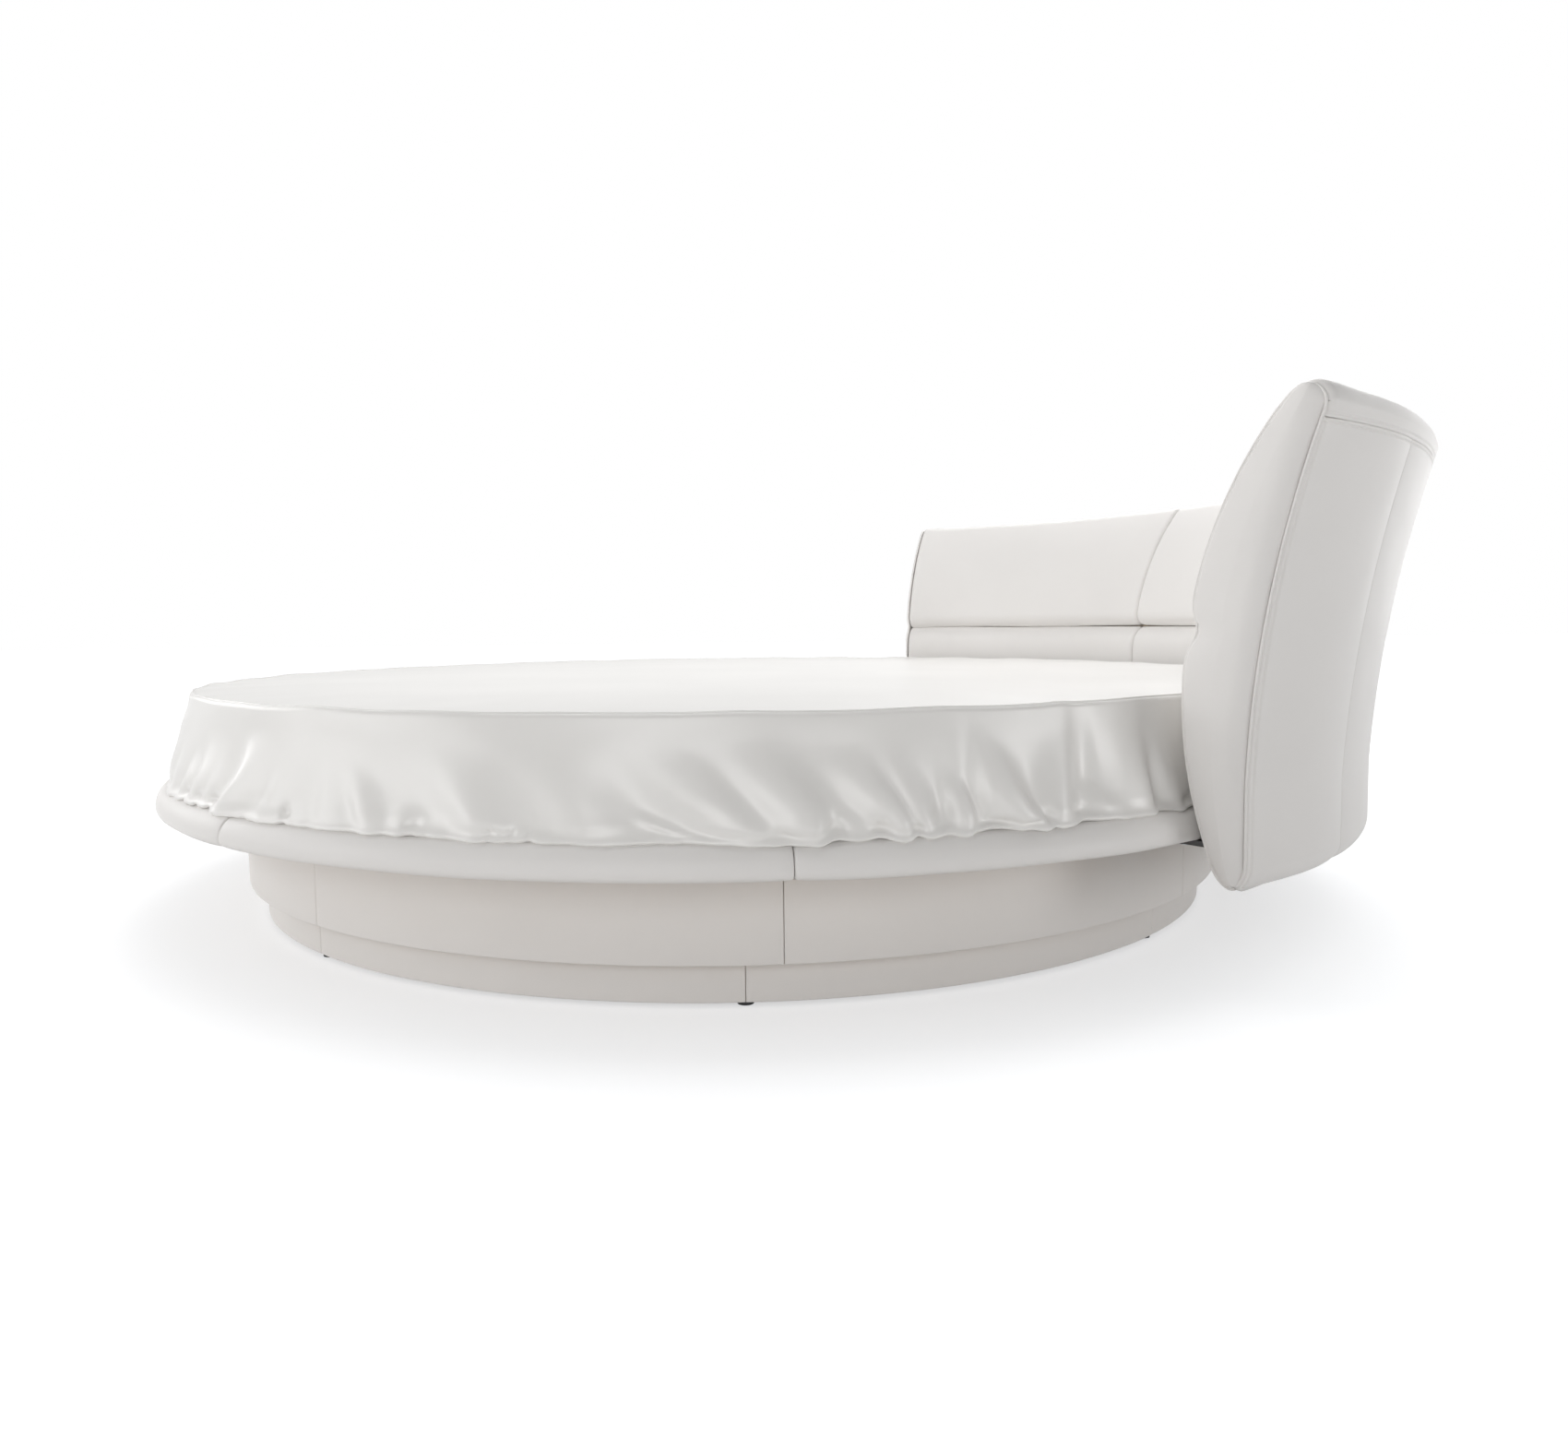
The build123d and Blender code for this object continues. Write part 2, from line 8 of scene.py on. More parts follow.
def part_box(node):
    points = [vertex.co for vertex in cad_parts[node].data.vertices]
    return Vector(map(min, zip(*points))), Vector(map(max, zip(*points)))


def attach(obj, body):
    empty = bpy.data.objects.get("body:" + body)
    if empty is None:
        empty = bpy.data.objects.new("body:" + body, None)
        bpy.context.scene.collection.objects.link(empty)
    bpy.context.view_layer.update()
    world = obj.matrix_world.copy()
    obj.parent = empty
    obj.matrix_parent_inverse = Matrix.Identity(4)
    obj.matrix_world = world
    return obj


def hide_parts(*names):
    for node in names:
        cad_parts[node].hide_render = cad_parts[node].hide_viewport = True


# A round bed on a recessed plinth that it turns on. Everything is in metres in the CAD part's frame:
# the bed's axis is Z, the headboard is on the +Y side, and angles are counted in degrees from +X.
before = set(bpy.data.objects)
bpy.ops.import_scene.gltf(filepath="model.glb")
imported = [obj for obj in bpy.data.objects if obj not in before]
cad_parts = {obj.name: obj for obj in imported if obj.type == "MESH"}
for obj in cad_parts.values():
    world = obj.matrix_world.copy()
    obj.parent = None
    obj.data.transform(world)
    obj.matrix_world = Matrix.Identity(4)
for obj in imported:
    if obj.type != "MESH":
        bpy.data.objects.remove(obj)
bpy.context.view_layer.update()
scene = bpy.context.scene

# Camera: low on the bed's right side, looking across the mattress, and a little rolled.
camera_place = (2.5205, -0.1272, 0.5426)
camera_heading, camera_pitch, camera_roll = radians(174.75), radians(-4.88), radians(-0.56)
ahead = Vector((cos(camera_heading) * cos(camera_pitch), sin(camera_heading) * cos(camera_pitch),
                sin(camera_pitch)))
camera_data = bpy.data.cameras.new("camera")
camera_data.lens = 25.37
camera_data.sensor_width = 36.0
camera_data.sensor_fit = "HORIZONTAL"
camera = bpy.data.objects.new("camera", camera_data)
camera.matrix_world = (Matrix.Translation(camera_place) @ ahead.to_track_quat("-Z", "Y").to_matrix().to_4x4()
                       @ Matrix.Rotation(camera_roll, 4, "Z"))
scene.collection.objects.link(camera)
scene.camera = camera
scene.view_settings.view_transform = "Standard"


# Studio: an even white surround and ten soft white lamps. The strongest stand above the bed's far side, at
# the camera's left and behind the headboard. The floor is white and keeps the bed's soft, bluish shadow,
# partly cast by the lamps and partly painted into the floor's own glow.
def link(tree, source, output, target, socket):
    tree.links.new(source.outputs[output], target.inputs[socket])


def new_node(tree, kind, values=None, links=None, **settings):
    """A shader node with its settings, the values of its inputs, and the node and output that feed others."""
    node = tree.nodes.new("ShaderNode" + kind)
    for setting, value in settings.items():
        setattr(node, setting, value)
    for socket, value in (values or {}).items():
        node.inputs[socket].default_value = value
    for socket, (source, output) in (links or {}).items():
        link(tree, source, output, node, socket)
    return node


def on_piece(tree, kind, values=None, **settings):
    """A shader node that reads the piece's own coordinates."""
    place = new_node(tree, "TexCoord")
    return new_node(tree, kind, values, {"Vector": (place, "Object")}, **settings)


def ranged(tree, source, output, target_range, source_range=(0, 1), **settings):
    """A value that goes through one range while its source goes through another."""
    values = dict(zip(("From Min", "From Max", "To Min", "To Max"), (*source_range, *target_range)))
    return new_node(tree, "MapRange", values, {"Value": (source, output)}, **settings)


def shown_to(tree, ray_kinds, shown, plain, end):
    """Ends a tree with one shader for the rays of some kinds, and with a plain one for all others."""
    path = new_node(tree, "LightPath")
    is_kind = path, f"Is {ray_kinds[0]} Ray"
    for kind in ray_kinds[1:]:
        either = new_node(tree, "Math", {}, {0: is_kind, 1: (path, f"Is {kind} Ray")}, operation="MAXIMUM")
        is_kind = either, 0
    choose = new_node(tree, "MixShader", {}, {0: is_kind, 1: (plain, 0), 2: (shown, 0)})
    link(tree, choose, 0, tree.nodes[end], "Surface")


def new_piece(name, points, faces, smooth_faces):
    """A mesh object from points and faces. So many of its faces, from the first on, are shaded smooth."""
    mesh = bpy.data.meshes.new(name)
    mesh.from_pydata(points, [], faces)
    mesh.polygons.foreach_set("use_smooth", np.arange(len(faces)) < smooth_faces)
    mesh.validate()
    piece = bpy.data.objects.new(name, mesh)
    scene.collection.objects.link(piece)
    return piece


world = bpy.data.worlds.new("studio")
scene.world = world
world.use_nodes = True
tree = world.node_tree
surround = tree.nodes["Background"]
surround.inputs["Color"].default_value = (1, 1, 1, 1)
surround.inputs["Strength"].default_value = 0.05
backdrop = new_node(tree, "Background", {"Color": (1, 1, 1, 1)})
shown_to(tree, ("Camera", "Glossy", "Transmission"), backdrop, surround, "World Output")

# Each lamp is a square: its name, its place, the point that it faces, its width in metres and its watts.
bed = (0.3, 0.0, 0.25)
for name, place, aim, width, power in (
        ("key_lamp", (1.4, -4.1, 1.5), bed, 2.2, 38),
        ("low_lamp", (2.6, -3.6, 0.5), bed, 1.4, 13),
        ("front_lamp", (4.2, -1.2, 1.2), bed, 1.6, 29),
        ("left_lamp", (-0.6, -2.8, 1.3), bed, 1.2, 14),
        ("right_lamp", (3.0, 3.4, 0.8), (0.8, 0.5, 0.15), 1.4, 29),
        ("corner_lamp", (4.2, 0.9, 0.4), (0.85, 0.5, 0.2), 0.9, 6),
        ("back_lamp", (-1.6, 4.2, 1.5), (0.4, 0.9, 0.5), 2.4, 31),
        ("top_lamp", (-1.6, 1.6, 3.0), (-0.2, 0.4, 0.4), 2.2, 56),
        ("far_lamp", (-3.0, -1.0, 0.2), (-0.9, 0.7, 0.6), 0.4, 12),
        ("near_top_lamp", (0.2, -0.3, 2.4), (0.15, 1.0, 0.5), 1.8, 24)):
    lamp_data = bpy.data.lights.new(name, "AREA")
    lamp_data.size = width
    lamp_data.energy = power
    lamp = bpy.data.objects.new(name, lamp_data)
    turn = (Vector(aim) - Vector(place)).to_track_quat("-Z", "Y").to_matrix().to_4x4()
    lamp.matrix_world = Matrix.Translation(place) @ turn
    scene.collection.objects.link(lamp)

# The floor gives off a white glow of its own, with painted shadow in it: the glow grows with the distance
# from the bed's axis and is weakest under the bed. The lamps' light and shadow are added to it. For rays that
# light the bed it is plain white.
far = 30.0
corners = [(-far, -far, 0), (far, -far, 0), (far, far, 0), (-far, far, 0)]
floor = new_piece("floor", corners, [(0, 1, 2, 3)], 0)
floor_paint = bpy.data.materials.new("floor_paint")
floor_paint.use_nodes = True
tree = floor_paint.node_tree
tree.nodes.remove(tree.nodes["Principled BSDF"])
distance = on_piece(tree, "VectorMath", operation="LENGTH")
# Painted shadow: the glow is dimmer near the bed and dimmer still under it.
painted_shadow_round_bed = ranged(tree, distance, "Value", (0.63, 0.86), (1.02, 1.42), interpolation_type="SMOOTHSTEP")
far_white = ranged(tree, distance, "Value", (0.0, 0.3), (1.6, 4.0))
painted_shadow_under_bed = ranged(tree, distance, "Value", (0.3, 1.0), (0.8, 1.0))
total_white = new_node(tree, "Math", {}, {0: (painted_shadow_round_bed, 0), 1: (far_white, 0)}, operation="ADD")
glow_after_painted_shadows = new_node(tree, "Math", {}, {0: (total_white, 0), 1: (painted_shadow_under_bed, 0)}, operation="MULTIPLY")
own_white = new_node(tree, "Emission", {"Color": (0.975, 0.985, 1, 1)}, {"Strength": (glow_after_painted_shadows, 0)})
shadow_part = new_node(tree, "BsdfDiffuse", {"Color": (0.42, 0.42, 0.42, 1)})
seen_floor = new_node(tree, "AddShader", {}, {0: (own_white, 0), 1: (shadow_part, 0)})
plain_floor = new_node(tree, "BsdfDiffuse", {"Color": (0.9, 0.9, 0.9, 1)})
shown_to(tree, ("Camera", "Glossy"), seen_floor, plain_floor, "Material Output")
floor.data.materials.append(floor_paint)


# Plinth frame: a bent hoop round a star of beams, sawn from birch plywood and glued to a round hub.
# Thin veneers show as bands across the height, and the face veneer has a long soft grain.
def new_material(name, roughness, specular=0.5, **more):
    """A material and its main shader. More holds other inputs of the shader, with _ for a space."""
    material = bpy.data.materials.new(name)
    material.use_nodes = True
    shader = material.node_tree.nodes["Principled BSDF"]
    shader.inputs["Roughness"].default_value = roughness
    shader.inputs["Specular IOR Level"].default_value = specular
    for socket, value in more.items():
        shader.inputs[socket.replace("_", " ")].default_value = value
    return material, material.node_tree, shader


def noise_on_piece(tree, scale, detail, stretch=(1, 1, 1)):
    """Noise on the piece's own coordinates, drawn out along the axes where stretch is small."""
    mapping = on_piece(tree, "Mapping", {"Scale": stretch})
    return new_node(tree, "TexNoise", {"Scale": scale, "Detail": detail}, {"Vector": (mapping, "Vector")})


def tinted(tree, source, dark, light, low=0.3, high=0.7, output="Fac", shader=None):
    """A colour that goes from dark to light as a pattern goes from low to high. A given shader takes it."""
    ramp = new_node(tree, "ValToRGB", {}, {"Fac": (source, output)})
    for point, position, colour in zip(ramp.color_ramp.elements, (low, high), (dark, light)):
        point.position = position
        point.color = (*colour, 1)
    if shader:
        link(tree, ramp, "Color", shader, "Base Color")
    return ramp


def bumped(tree, shader, source, depth, strength, output="Fac", under=None):
    """Relief from a pattern, in metres, on top of the relief that is already there."""
    bump = new_node(tree, "Bump", {"Distance": depth, "Strength": strength}, {"Height": (source, output)})
    if under:
        link(tree, under, "Normal", bump, "Normal")
    link(tree, bump, "Normal", shader, "Normal")
    return bump


def grained(name, roughness, specular, noise, dark, light, depth, strength, **more):
    """A material whose tone and relief follow one noise of a scale, a detail and a stretch."""
    material, tree, shader = new_material(name, roughness, specular, **more)
    grain = noise_on_piece(tree, *noise)
    colour = tinted(tree, grain, dark, light, shader=shader)
    bumped(tree, shader, grain, depth, strength)
    return material, tree, shader, colour


def finish_nodes(names, material):
    """CAD nodes that keep their shape get their finish in every material slot."""
    for name in names:
        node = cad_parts[name]
        node.data.materials.clear()
        node.data.materials.append(material)


veneer_thickness = 0.0015
wave_length = 0.314                # of a wave texture at scale 1, in metres
birch_ply, tree, shader, face_colour = grained(
    "birch_ply", 0.55, 0.5, (9.0, 6.0, (1, 1, 3)), (0.56, 0.4, 0.24), (0.70, 0.54, 0.36), 0.0004, 0.4)
bands = on_piece(tree, "TexWave", {"Scale": wave_length / (2 * veneer_thickness)}, bands_direction="Z")
glue_lines = tinted(tree, bands, (0.62, 0.52, 0.42), (1, 1, 1), 0.1, 0.5)
layered = new_node(tree, "Mix", {"Factor": 0.45}, {"A": (face_colour, "Color"), "B": (glue_lines, "Color")},
                   data_type="RGBA", blend_type="MULTIPLY")
link(tree, layered, "Result", shader, "Base Color")
finish_nodes(("plinth_hoop", "plinth_beams", "plinth_hub"), birch_ply)

# Glides: moulded black plastic feet with a fine pebbled face. They are fixed under the hoop at the plinth's
# seams, and a wider one under the hub.
glide_plastic = grained("glide_plastic", 0.55, 0.4, (900.0, 2.0), (0.012, 0.012, 0.013),
                        (0.022, 0.022, 0.024), 0.0003, 0.5)[0]
finish_nodes(("floor_glides", "centre_glide"), glide_plastic)


# Turntable: two turned steel plates with a zinc finish, a nylon slide ring between them, a steel pivot,
# and nylon pads near the rim that keep the bed level.
def glossed(tree, shader, source, low, high, output="Fac"):
    """A roughness for the shader that goes from low to high with a pattern."""
    link(tree, ranged(tree, source, output, (low, high)), "Result", shader, "Roughness")


zinc_steel, tree, shader = new_material("zinc_steel", 0.35, Metallic=1.0)
spangle = on_piece(tree, "TexVoronoi", {"Scale": 60.0})
tinted(tree, spangle, (0.50, 0.51, 0.53), (0.64, 0.65, 0.67), 0.0, 0.8, "Distance", shader)
glossed(tree, shader, spangle, 0.28, 0.45, "Distance")
finish_nodes(("turntable_lower_plate", "turntable_upper_plate", "centre_pivot", "bracket_bolts"),
             zinc_steel)
nylon = grained("nylon", 0.45, 0.5, (40.0, 3.0), (0.70, 0.69, 0.64), (0.80, 0.79, 0.75), 0.0002, 0.3,
                Subsurface_Weight=0.1)[0]
finish_nodes(("turntable_slide_ring", "slide_pads"), nylon)


# Leather: smooth off-white hide with a fine grain. It covers every padded piece of the bed.
# The eight panels of the plinth are stapled round its hoop, with their ends turned in at butt seams.
def polar(radius, degrees, height):
    """Points from radii, angles and heights, which may be arrays that fit together."""
    turn = np.radians(degrees)
    return np.stack(np.broadcast_arrays(radius * np.cos(turn), radius * np.sin(turn), height), -1)


def skin(name, points, ends=False, poles=False):
    """A mesh object from rows of points, each a loop: a face joins two neighbours in a row to the same two in
    the next. Ends closes the first and last rows, with faces from their first half, a shown line, across to
    the hidden second half. Poles merges points that coincide. Faces that point in are turned round."""
    rows, columns = points.shape[:2]
    index = np.arange(rows * columns).reshape(rows, columns)
    nearby = np.roll(index, -1, 1)
    quads = np.stack([index[:-1], nearby[:-1], nearby[1:], index[1:]], -1).reshape(-1, 4)
    faces = quads
    if ends:
        out = np.arange(columns // 2 - 1)
        back = columns - 1 - out
        ladder = np.stack([out, back, back - 1, out + 1], -1)
        faces = np.concatenate([quads, index[0][ladder], index[-1][ladder[:, ::-1]]])
    flat = points.reshape(-1, 3)
    first, second, third, fourth = flat[quads.T]
    if np.sum(first * (np.cross(second, third) + np.cross(third, fourth))) < 0:
        faces = faces[:, ::-1]
    piece = new_piece(name, flat, faces.tolist(), len(quads))
    if poles:
        form = bmesh.new()
        form.from_mesh(piece.data)
        bmesh.ops.remove_doubles(form, verts=form.verts, dist=0.00001)
        bmesh.ops.dissolve_degenerate(form, edges=form.edges, dist=0.00001)
        form.to_mesh(piece.data)
        form.free()
        piece.data.validate()
    return piece


def dress(piece, material, slot, body, *nodes):
    """Gives a piece its material and body, and hides the CAD nodes that it stands for. The slot is not used.
    """
    piece.data.materials.append(material)
    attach(piece, body)
    if nodes:
        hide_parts(*nodes)


def rounding(distance, radius):
    """How far an edge rounded in a quarter circle falls away at a distance from it."""
    into = np.clip(radius - distance, 0, radius)
    return radius - np.sqrt(np.maximum(radius ** 2 - into ** 2, 0))


def spaced(start, end, edge, step, edge_steps):
    """Places from start to end, close together within an edge's length of both ends."""
    near = edge * (1 - np.cos(np.linspace(0, np.pi / 2, edge_steps)))
    middle = np.linspace(start + edge, end - edge, max(int((end - start - 2 * edge) / step), 2) + 1)
    return np.concatenate([start + near[:-1], middle, (end - near)[::-1][1:]])


def soft_waves(seed, count, heights, *fields):
    """A sum of random waves, each height and each pace along a field of places from its own range."""
    random = np.random.default_rng(seed)
    return sum(random.uniform(*heights) * np.sin(
        sum(places * random.uniform(*paces) for places, paces in fields) + random.uniform(0, 6))
        for wave in range(count))


def leather_panels(tier, body, radius, first_seam, seed, level_with):
    """Eight panels round a hoop. Their faces fall away in a quarter circle at each edge, are pulled in a
    little near the seams, and have soft random waves. Their backs are plain."""
    edge, thickness, gap = 0.0022, 0.006, 0.0003
    column_step, row_step, edge_steps = 0.012, 0.008, 6
    pulled_in, pull_reach = 0.0009, 0.012
    low, high = (corner.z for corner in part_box(level_with))
    reach = np.radians(panel_angle) * radius
    along = spaced(gap, reach - gap, edge, column_step, edge_steps)
    up = spaced(low, high, edge, row_step, edge_steps)
    from_seam = np.minimum(along, reach - along)[:, None] - gap
    from_edge = np.minimum(up - low, high - up)[None, :]
    fall = np.maximum(rounding(from_seam, edge), rounding(from_edge, edge))
    pull = pulled_in * np.exp(-from_seam / pull_reach)
    for number in range(8):
        waves = soft_waves(seed + number, 5, (0.00008, 0.0002), (along[:, None], (9, 40)), (up, (-30, 30)))
        degrees = first_seam + number * panel_angle + np.degrees(along / radius)[:, None]
        outer = polar(radius + waves - pull - fall, degrees, up)
        inner = polar(radius - thickness, degrees, up[::-1])
        panel = skin(f"{tier}_leather_{number + 1}", np.concatenate([outer, inner], 1), ends=True)
        dress(panel, leather, "leather", body, f"{tier}_cover_{number + 1}")


leather, tree, shader = new_material("leather", 0.5, 0.42, Coat_Weight=0.08, Coat_Roughness=0.35)
tinted(tree, noise_on_piece(tree, 2.3, 5.0), (0.79, 0.77, 0.75), (0.825, 0.805, 0.785), shader=shader)
glossed(tree, shader, noise_on_piece(tree, 14.0, 3.0), 0.44, 0.58)
cells = on_piece(tree, "TexVoronoi", {"Scale": 620.0, "Smoothness": 0.6}, feature="SMOOTH_F1")
grain = bumped(tree, shader, cells, 0.00022, 0.35, "Distance")
bumped(tree, shader, noise_on_piece(tree, 26.0, 2.0), 0.0016, 0.12, under=grain)

panel_angle = 45.0
leather_panels("plinth", "plinth", radius=0.990, first_seam=-2.6, seed=100, level_with="plinth_hoop")

# Base frame: a taller hoop with a ledge inside it at the bottom and at the top, two halved beams, and the
# board on top that carries the rim.
finish_nodes(("base_hoop", "bottom_ledge", "slat_ledge", "long_beam", "cross_beam", "rim_board"),
             birch_ply)

# Base tier: eight more panels of the same leather, stapled round the base hoop. They stand out past the
# plinth and leave a narrow shadow gap above it.
panel_turn = 0.45
leather_panels("base", "bed", radius=1.021, first_seam=panel_turn, seed=200, level_with="base_cover_1")

# Slats: two rows of sprung slats, bent from beech with the grain along them. They lie from the middle beam
# to the ledge, and carry the mattress.
beech = grained("beech", 0.55, 0.5, (9.0, 6.0, (0.25, 4, 4)), (0.60, 0.4, 0.24), (0.74, 0.55, 0.36),
                0.0004, 0.4)[0]
finish_nodes(("slats_left", "slats_right"), beech)


# Rim: eight sections of padded leather over a ring of boards. Foam makes the broad round nose, and each
# section's ends are drawn in slightly where it butts against the next.
def arc(centre, radius, start, end, count):
    """Points on a circle from one angle to another, in degrees, as pairs of radius and height."""
    turn = np.radians(np.linspace(start, end, count))
    return np.stack([centre[0] + radius * np.cos(turn), centre[1] + radius * np.sin(turn)], -1)


rim_radius, rim_inner, board_side = 1.1675, 1.105, 1.1463
rim_low, rim_high = (corner.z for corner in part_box("rim_section_1"))
board_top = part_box("rim_board")[1].z + 0.0003
nose_round, nose_under, inner_round = 0.037, 0.012, 0.008
nose_centre = (rim_radius - nose_round, rim_high - nose_round)
lining = 0.0002                    # how far the hidden line stands off the shown one at both its ends
rim_shown = np.vstack([
    np.linspace((board_side, rim_low), (rim_radius - nose_under, rim_low), 4)[:-1],
    arc((rim_radius - nose_under, rim_low + nose_under), nose_under, -90, 0, 10)[:-1],
    arc(nose_centre, nose_round, 0, 90, 26)[:-1],
    np.linspace((nose_centre[0], rim_high), (rim_inner + inner_round, rim_high), 8)[:-1],
    arc((rim_inner + inner_round, rim_high - inner_round), inner_round, 90, 180, 8)[:-1],
    np.linspace((rim_inner, rim_high - inner_round), (rim_inner, board_top), 5),
])
rim_hidden = np.vstack([
    np.linspace((board_side, rim_low + lining), (board_side, board_top), 30)[:-1],
    np.linspace((board_side, board_top), (rim_inner + lining, board_top), len(rim_shown) - 29),
])
rim_outline = np.vstack([rim_shown, rim_hidden[::-1]])
onward = np.roll(rim_outline, -1, 0) - np.roll(rim_outline, 1, 0)
outward = np.stack([onward[:, 1], -onward[:, 0]], -1) / np.linalg.norm(onward, axis=1)[:, None]
seam_gap, end_round = 0.0003, 0.004
drawn_in, draw_reach = 0.0016, 0.016
reach = np.radians(panel_angle) * rim_radius
along = spaced(seam_gap, reach - seam_gap, end_round, 0.014, 6)
from_seam = np.minimum(along, reach - along)[:, None] - seam_gap
for number in range(8):
    waves = soft_waves(300 + number, 5, (0.0001, 0.0003), (along[:, None], (8, 30)),
                       (np.arange(len(rim_outline)), (-0.2, 0.2)))
    fall = rounding(from_seam, end_round) + drawn_in * np.exp(-from_seam / draw_reach) + waves
    fall[:, len(rim_shown):] = 0
    degrees = panel_turn + number * panel_angle + np.degrees(along / rim_radius)[:, None]
    moved = rim_outline - outward * fall[..., None]
    section = skin(f"rim_leather_{number + 1}", polar(moved[..., 0], degrees, moved[..., 1]), ends=True)
    dress(section, leather, "leather", "bed", f"rim_section_{number + 1}")

# Mattress: a round foam mattress in woven ticking with a fine diagonal rib, and a taped seam round its top
# and bottom edges. It lies loose on the slats, inside the rim.
ticking, tree, shader = new_material("ticking", 0.75, 0.3, Sheen_Weight=0.15)
tinted(tree, noise_on_piece(tree, 6.0, 4.0), (0.69, 0.675, 0.64), (0.75, 0.735, 0.70), shader=shader)
bumped(tree, shader, on_piece(tree, "TexWave", {"Scale": 110.0}, bands_direction="DIAGONAL"), 0.0003, 0.5)
mattress_radius = 1.1
mattress_low, mattress_high = (corner.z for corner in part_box("mattress"))
crown, corner_round, foot_round = 0.005, 0.02, 0.012
foot_in, side_in = 0.004, 0.0005   # how far the foot and the side stand in from the full radius
tape_high, tape_half_width = 0.0022, 0.02
shoulder_height = mattress_high - crown - corner_round
side_heights = np.linspace(mattress_low + foot_round, shoulder_height, 24)
side_share = (side_heights - side_heights[0]) / (side_heights[-1] - side_heights[0])
side_swell = foot_in * (np.sin(np.pi * side_share) - 1 + side_share)
tape = tape_high * sum(np.exp(-((side_share - place) / tape_half_width) ** 2) for place in (0.05, 0.95))
under = np.linspace(0.0, mattress_radius - foot_in - foot_round, 20)
over = np.linspace(mattress_radius - corner_round, 0.0, 30)
profile = np.vstack([
    np.stack([under, np.full(20, mattress_low)], -1)[:-1],
    arc((mattress_radius - foot_in - foot_round, mattress_low + foot_round), foot_round, -90, 0, 8)[:-1],
    np.stack([mattress_radius + side_swell + tape - side_in, side_heights], -1),
    arc((mattress_radius - corner_round, shoulder_height), corner_round, 0, 90, 12)[1:-1],
    np.stack([over, mattress_high - crown * (over / over[0]) ** 2], -1),
])
turns = np.linspace(0, 360, 193)[:-1]
mattress = skin("mattress_ticking", polar(profile[:, :1], turns, profile[:, 1:]), poles=True)
dress(mattress, ticking, "ticking", "mattress", "mattress")


# Sheet: cotton satin, cut as a round top and a long side band. The band is gathered along its foot by
# elastic, swells out over the rim in soft folds, and turns in behind it. A corded seam joins the two.
def lay_map(piece, across, along):
    """Gives a piece a map in metres of cloth, from two arrays with a value for each of its points."""
    layer = piece.data.uv_layers.new(name="cloth")
    corners = np.empty(len(piece.data.loops), np.int32)
    piece.data.loops.foreach_get("vertex_index", corners)
    pairs = np.stack(np.broadcast_arrays(across, along), -1).reshape(-1, 2)[corners]
    layer.data.foreach_set("uv", pairs.reshape(-1).astype(np.float32))


def angle_from(degrees, centre):
    """The angle from a centre, from -180 to 180 degrees."""
    return (degrees - centre + 180) % 360 - 180


def seam_drop(degrees):
    """How far the seam lies under its height: most at the bed's foot, with soft waves and two puckers."""
    turn = np.radians(degrees)
    waves = sum(high * np.sin(count * turn + start) for high, count, start in seam_waves)
    puckers = sum(0.0014 * np.exp(-angle_from(degrees, at) ** 2 / wide) for at, wide in ((21, 1), (-3, 6)))
    return 0.0038 * (0.5 + 0.5 * np.cos(turn + 0.35)) + waves - puckers


satin, tree, shader = new_material("satin", 0.36, 0.75, Sheen_Weight=0.12, Sheen_Roughness=0.4)
cloth_map = new_node(tree, "TexCoord")
threads_per_metre = new_node(tree, "Mapping", {"Scale": (2400, 900, 1)}, {"Vector": (cloth_map, "UV")})
threads = new_node(tree, "TexNoise", {"Scale": 1.0, "Detail": 2.0}, {"Vector": (threads_per_metre, 0)})
bumped(tree, shader, threads, 0.0001, 0.12)
tone = noise_on_piece(tree, 3.0, 3.0)
tinted(tree, tone, (0.80, 0.785, 0.76), (0.84, 0.825, 0.80), 0.35, 0.65, shader=shader)
glossed(tree, shader, tone, 0.3, 0.4)

seam_radius, seam_height = 1.0985, 0.4336
random = np.random.default_rng(41)
seam_waves = [(random.uniform(0.0001, 0.0005), random.integers(4, 40), random.uniform(0, 6))
              for wave in range(7)]
ring_share = np.linspace(0, 1, 70)[:, None] ** 0.75
turns = np.linspace(0, 360, 513)[None, :-1]
billow = sum(random.uniform(0.0006, 0.0016) * np.sin(
    random.uniform(3, 12) * ring_share * np.cos(np.radians(turns - aim)) + random.uniform(0, 6))
    for aim in random.uniform(0, 360, 9))
tension = 0.0005 * ring_share ** 6 * np.sin(np.radians(turns) * 61 + 3 * np.sin(np.radians(turns) * 5))
settle = ring_share ** 1.5 * (1 - ring_share ** 12)
top_crown = 0.0055 * (1 - ring_share ** 2)
top_height = seam_height + top_crown + (billow * settle + tension) * (1 - ring_share ** 24)
top_height -= seam_drop(turns) * ring_share ** 6
top_sheet = skin("sheet_top", polar(ring_share * seam_radius, turns, top_height), poles=True)
spread = np.empty(3 * len(top_sheet.data.vertices), np.float32)
top_sheet.data.vertices.foreach_get("co", spread)
lay_map(top_sheet, spread[0::3], spread[1::3])
dress(top_sheet, satin, "satin", "mattress", "sheet")

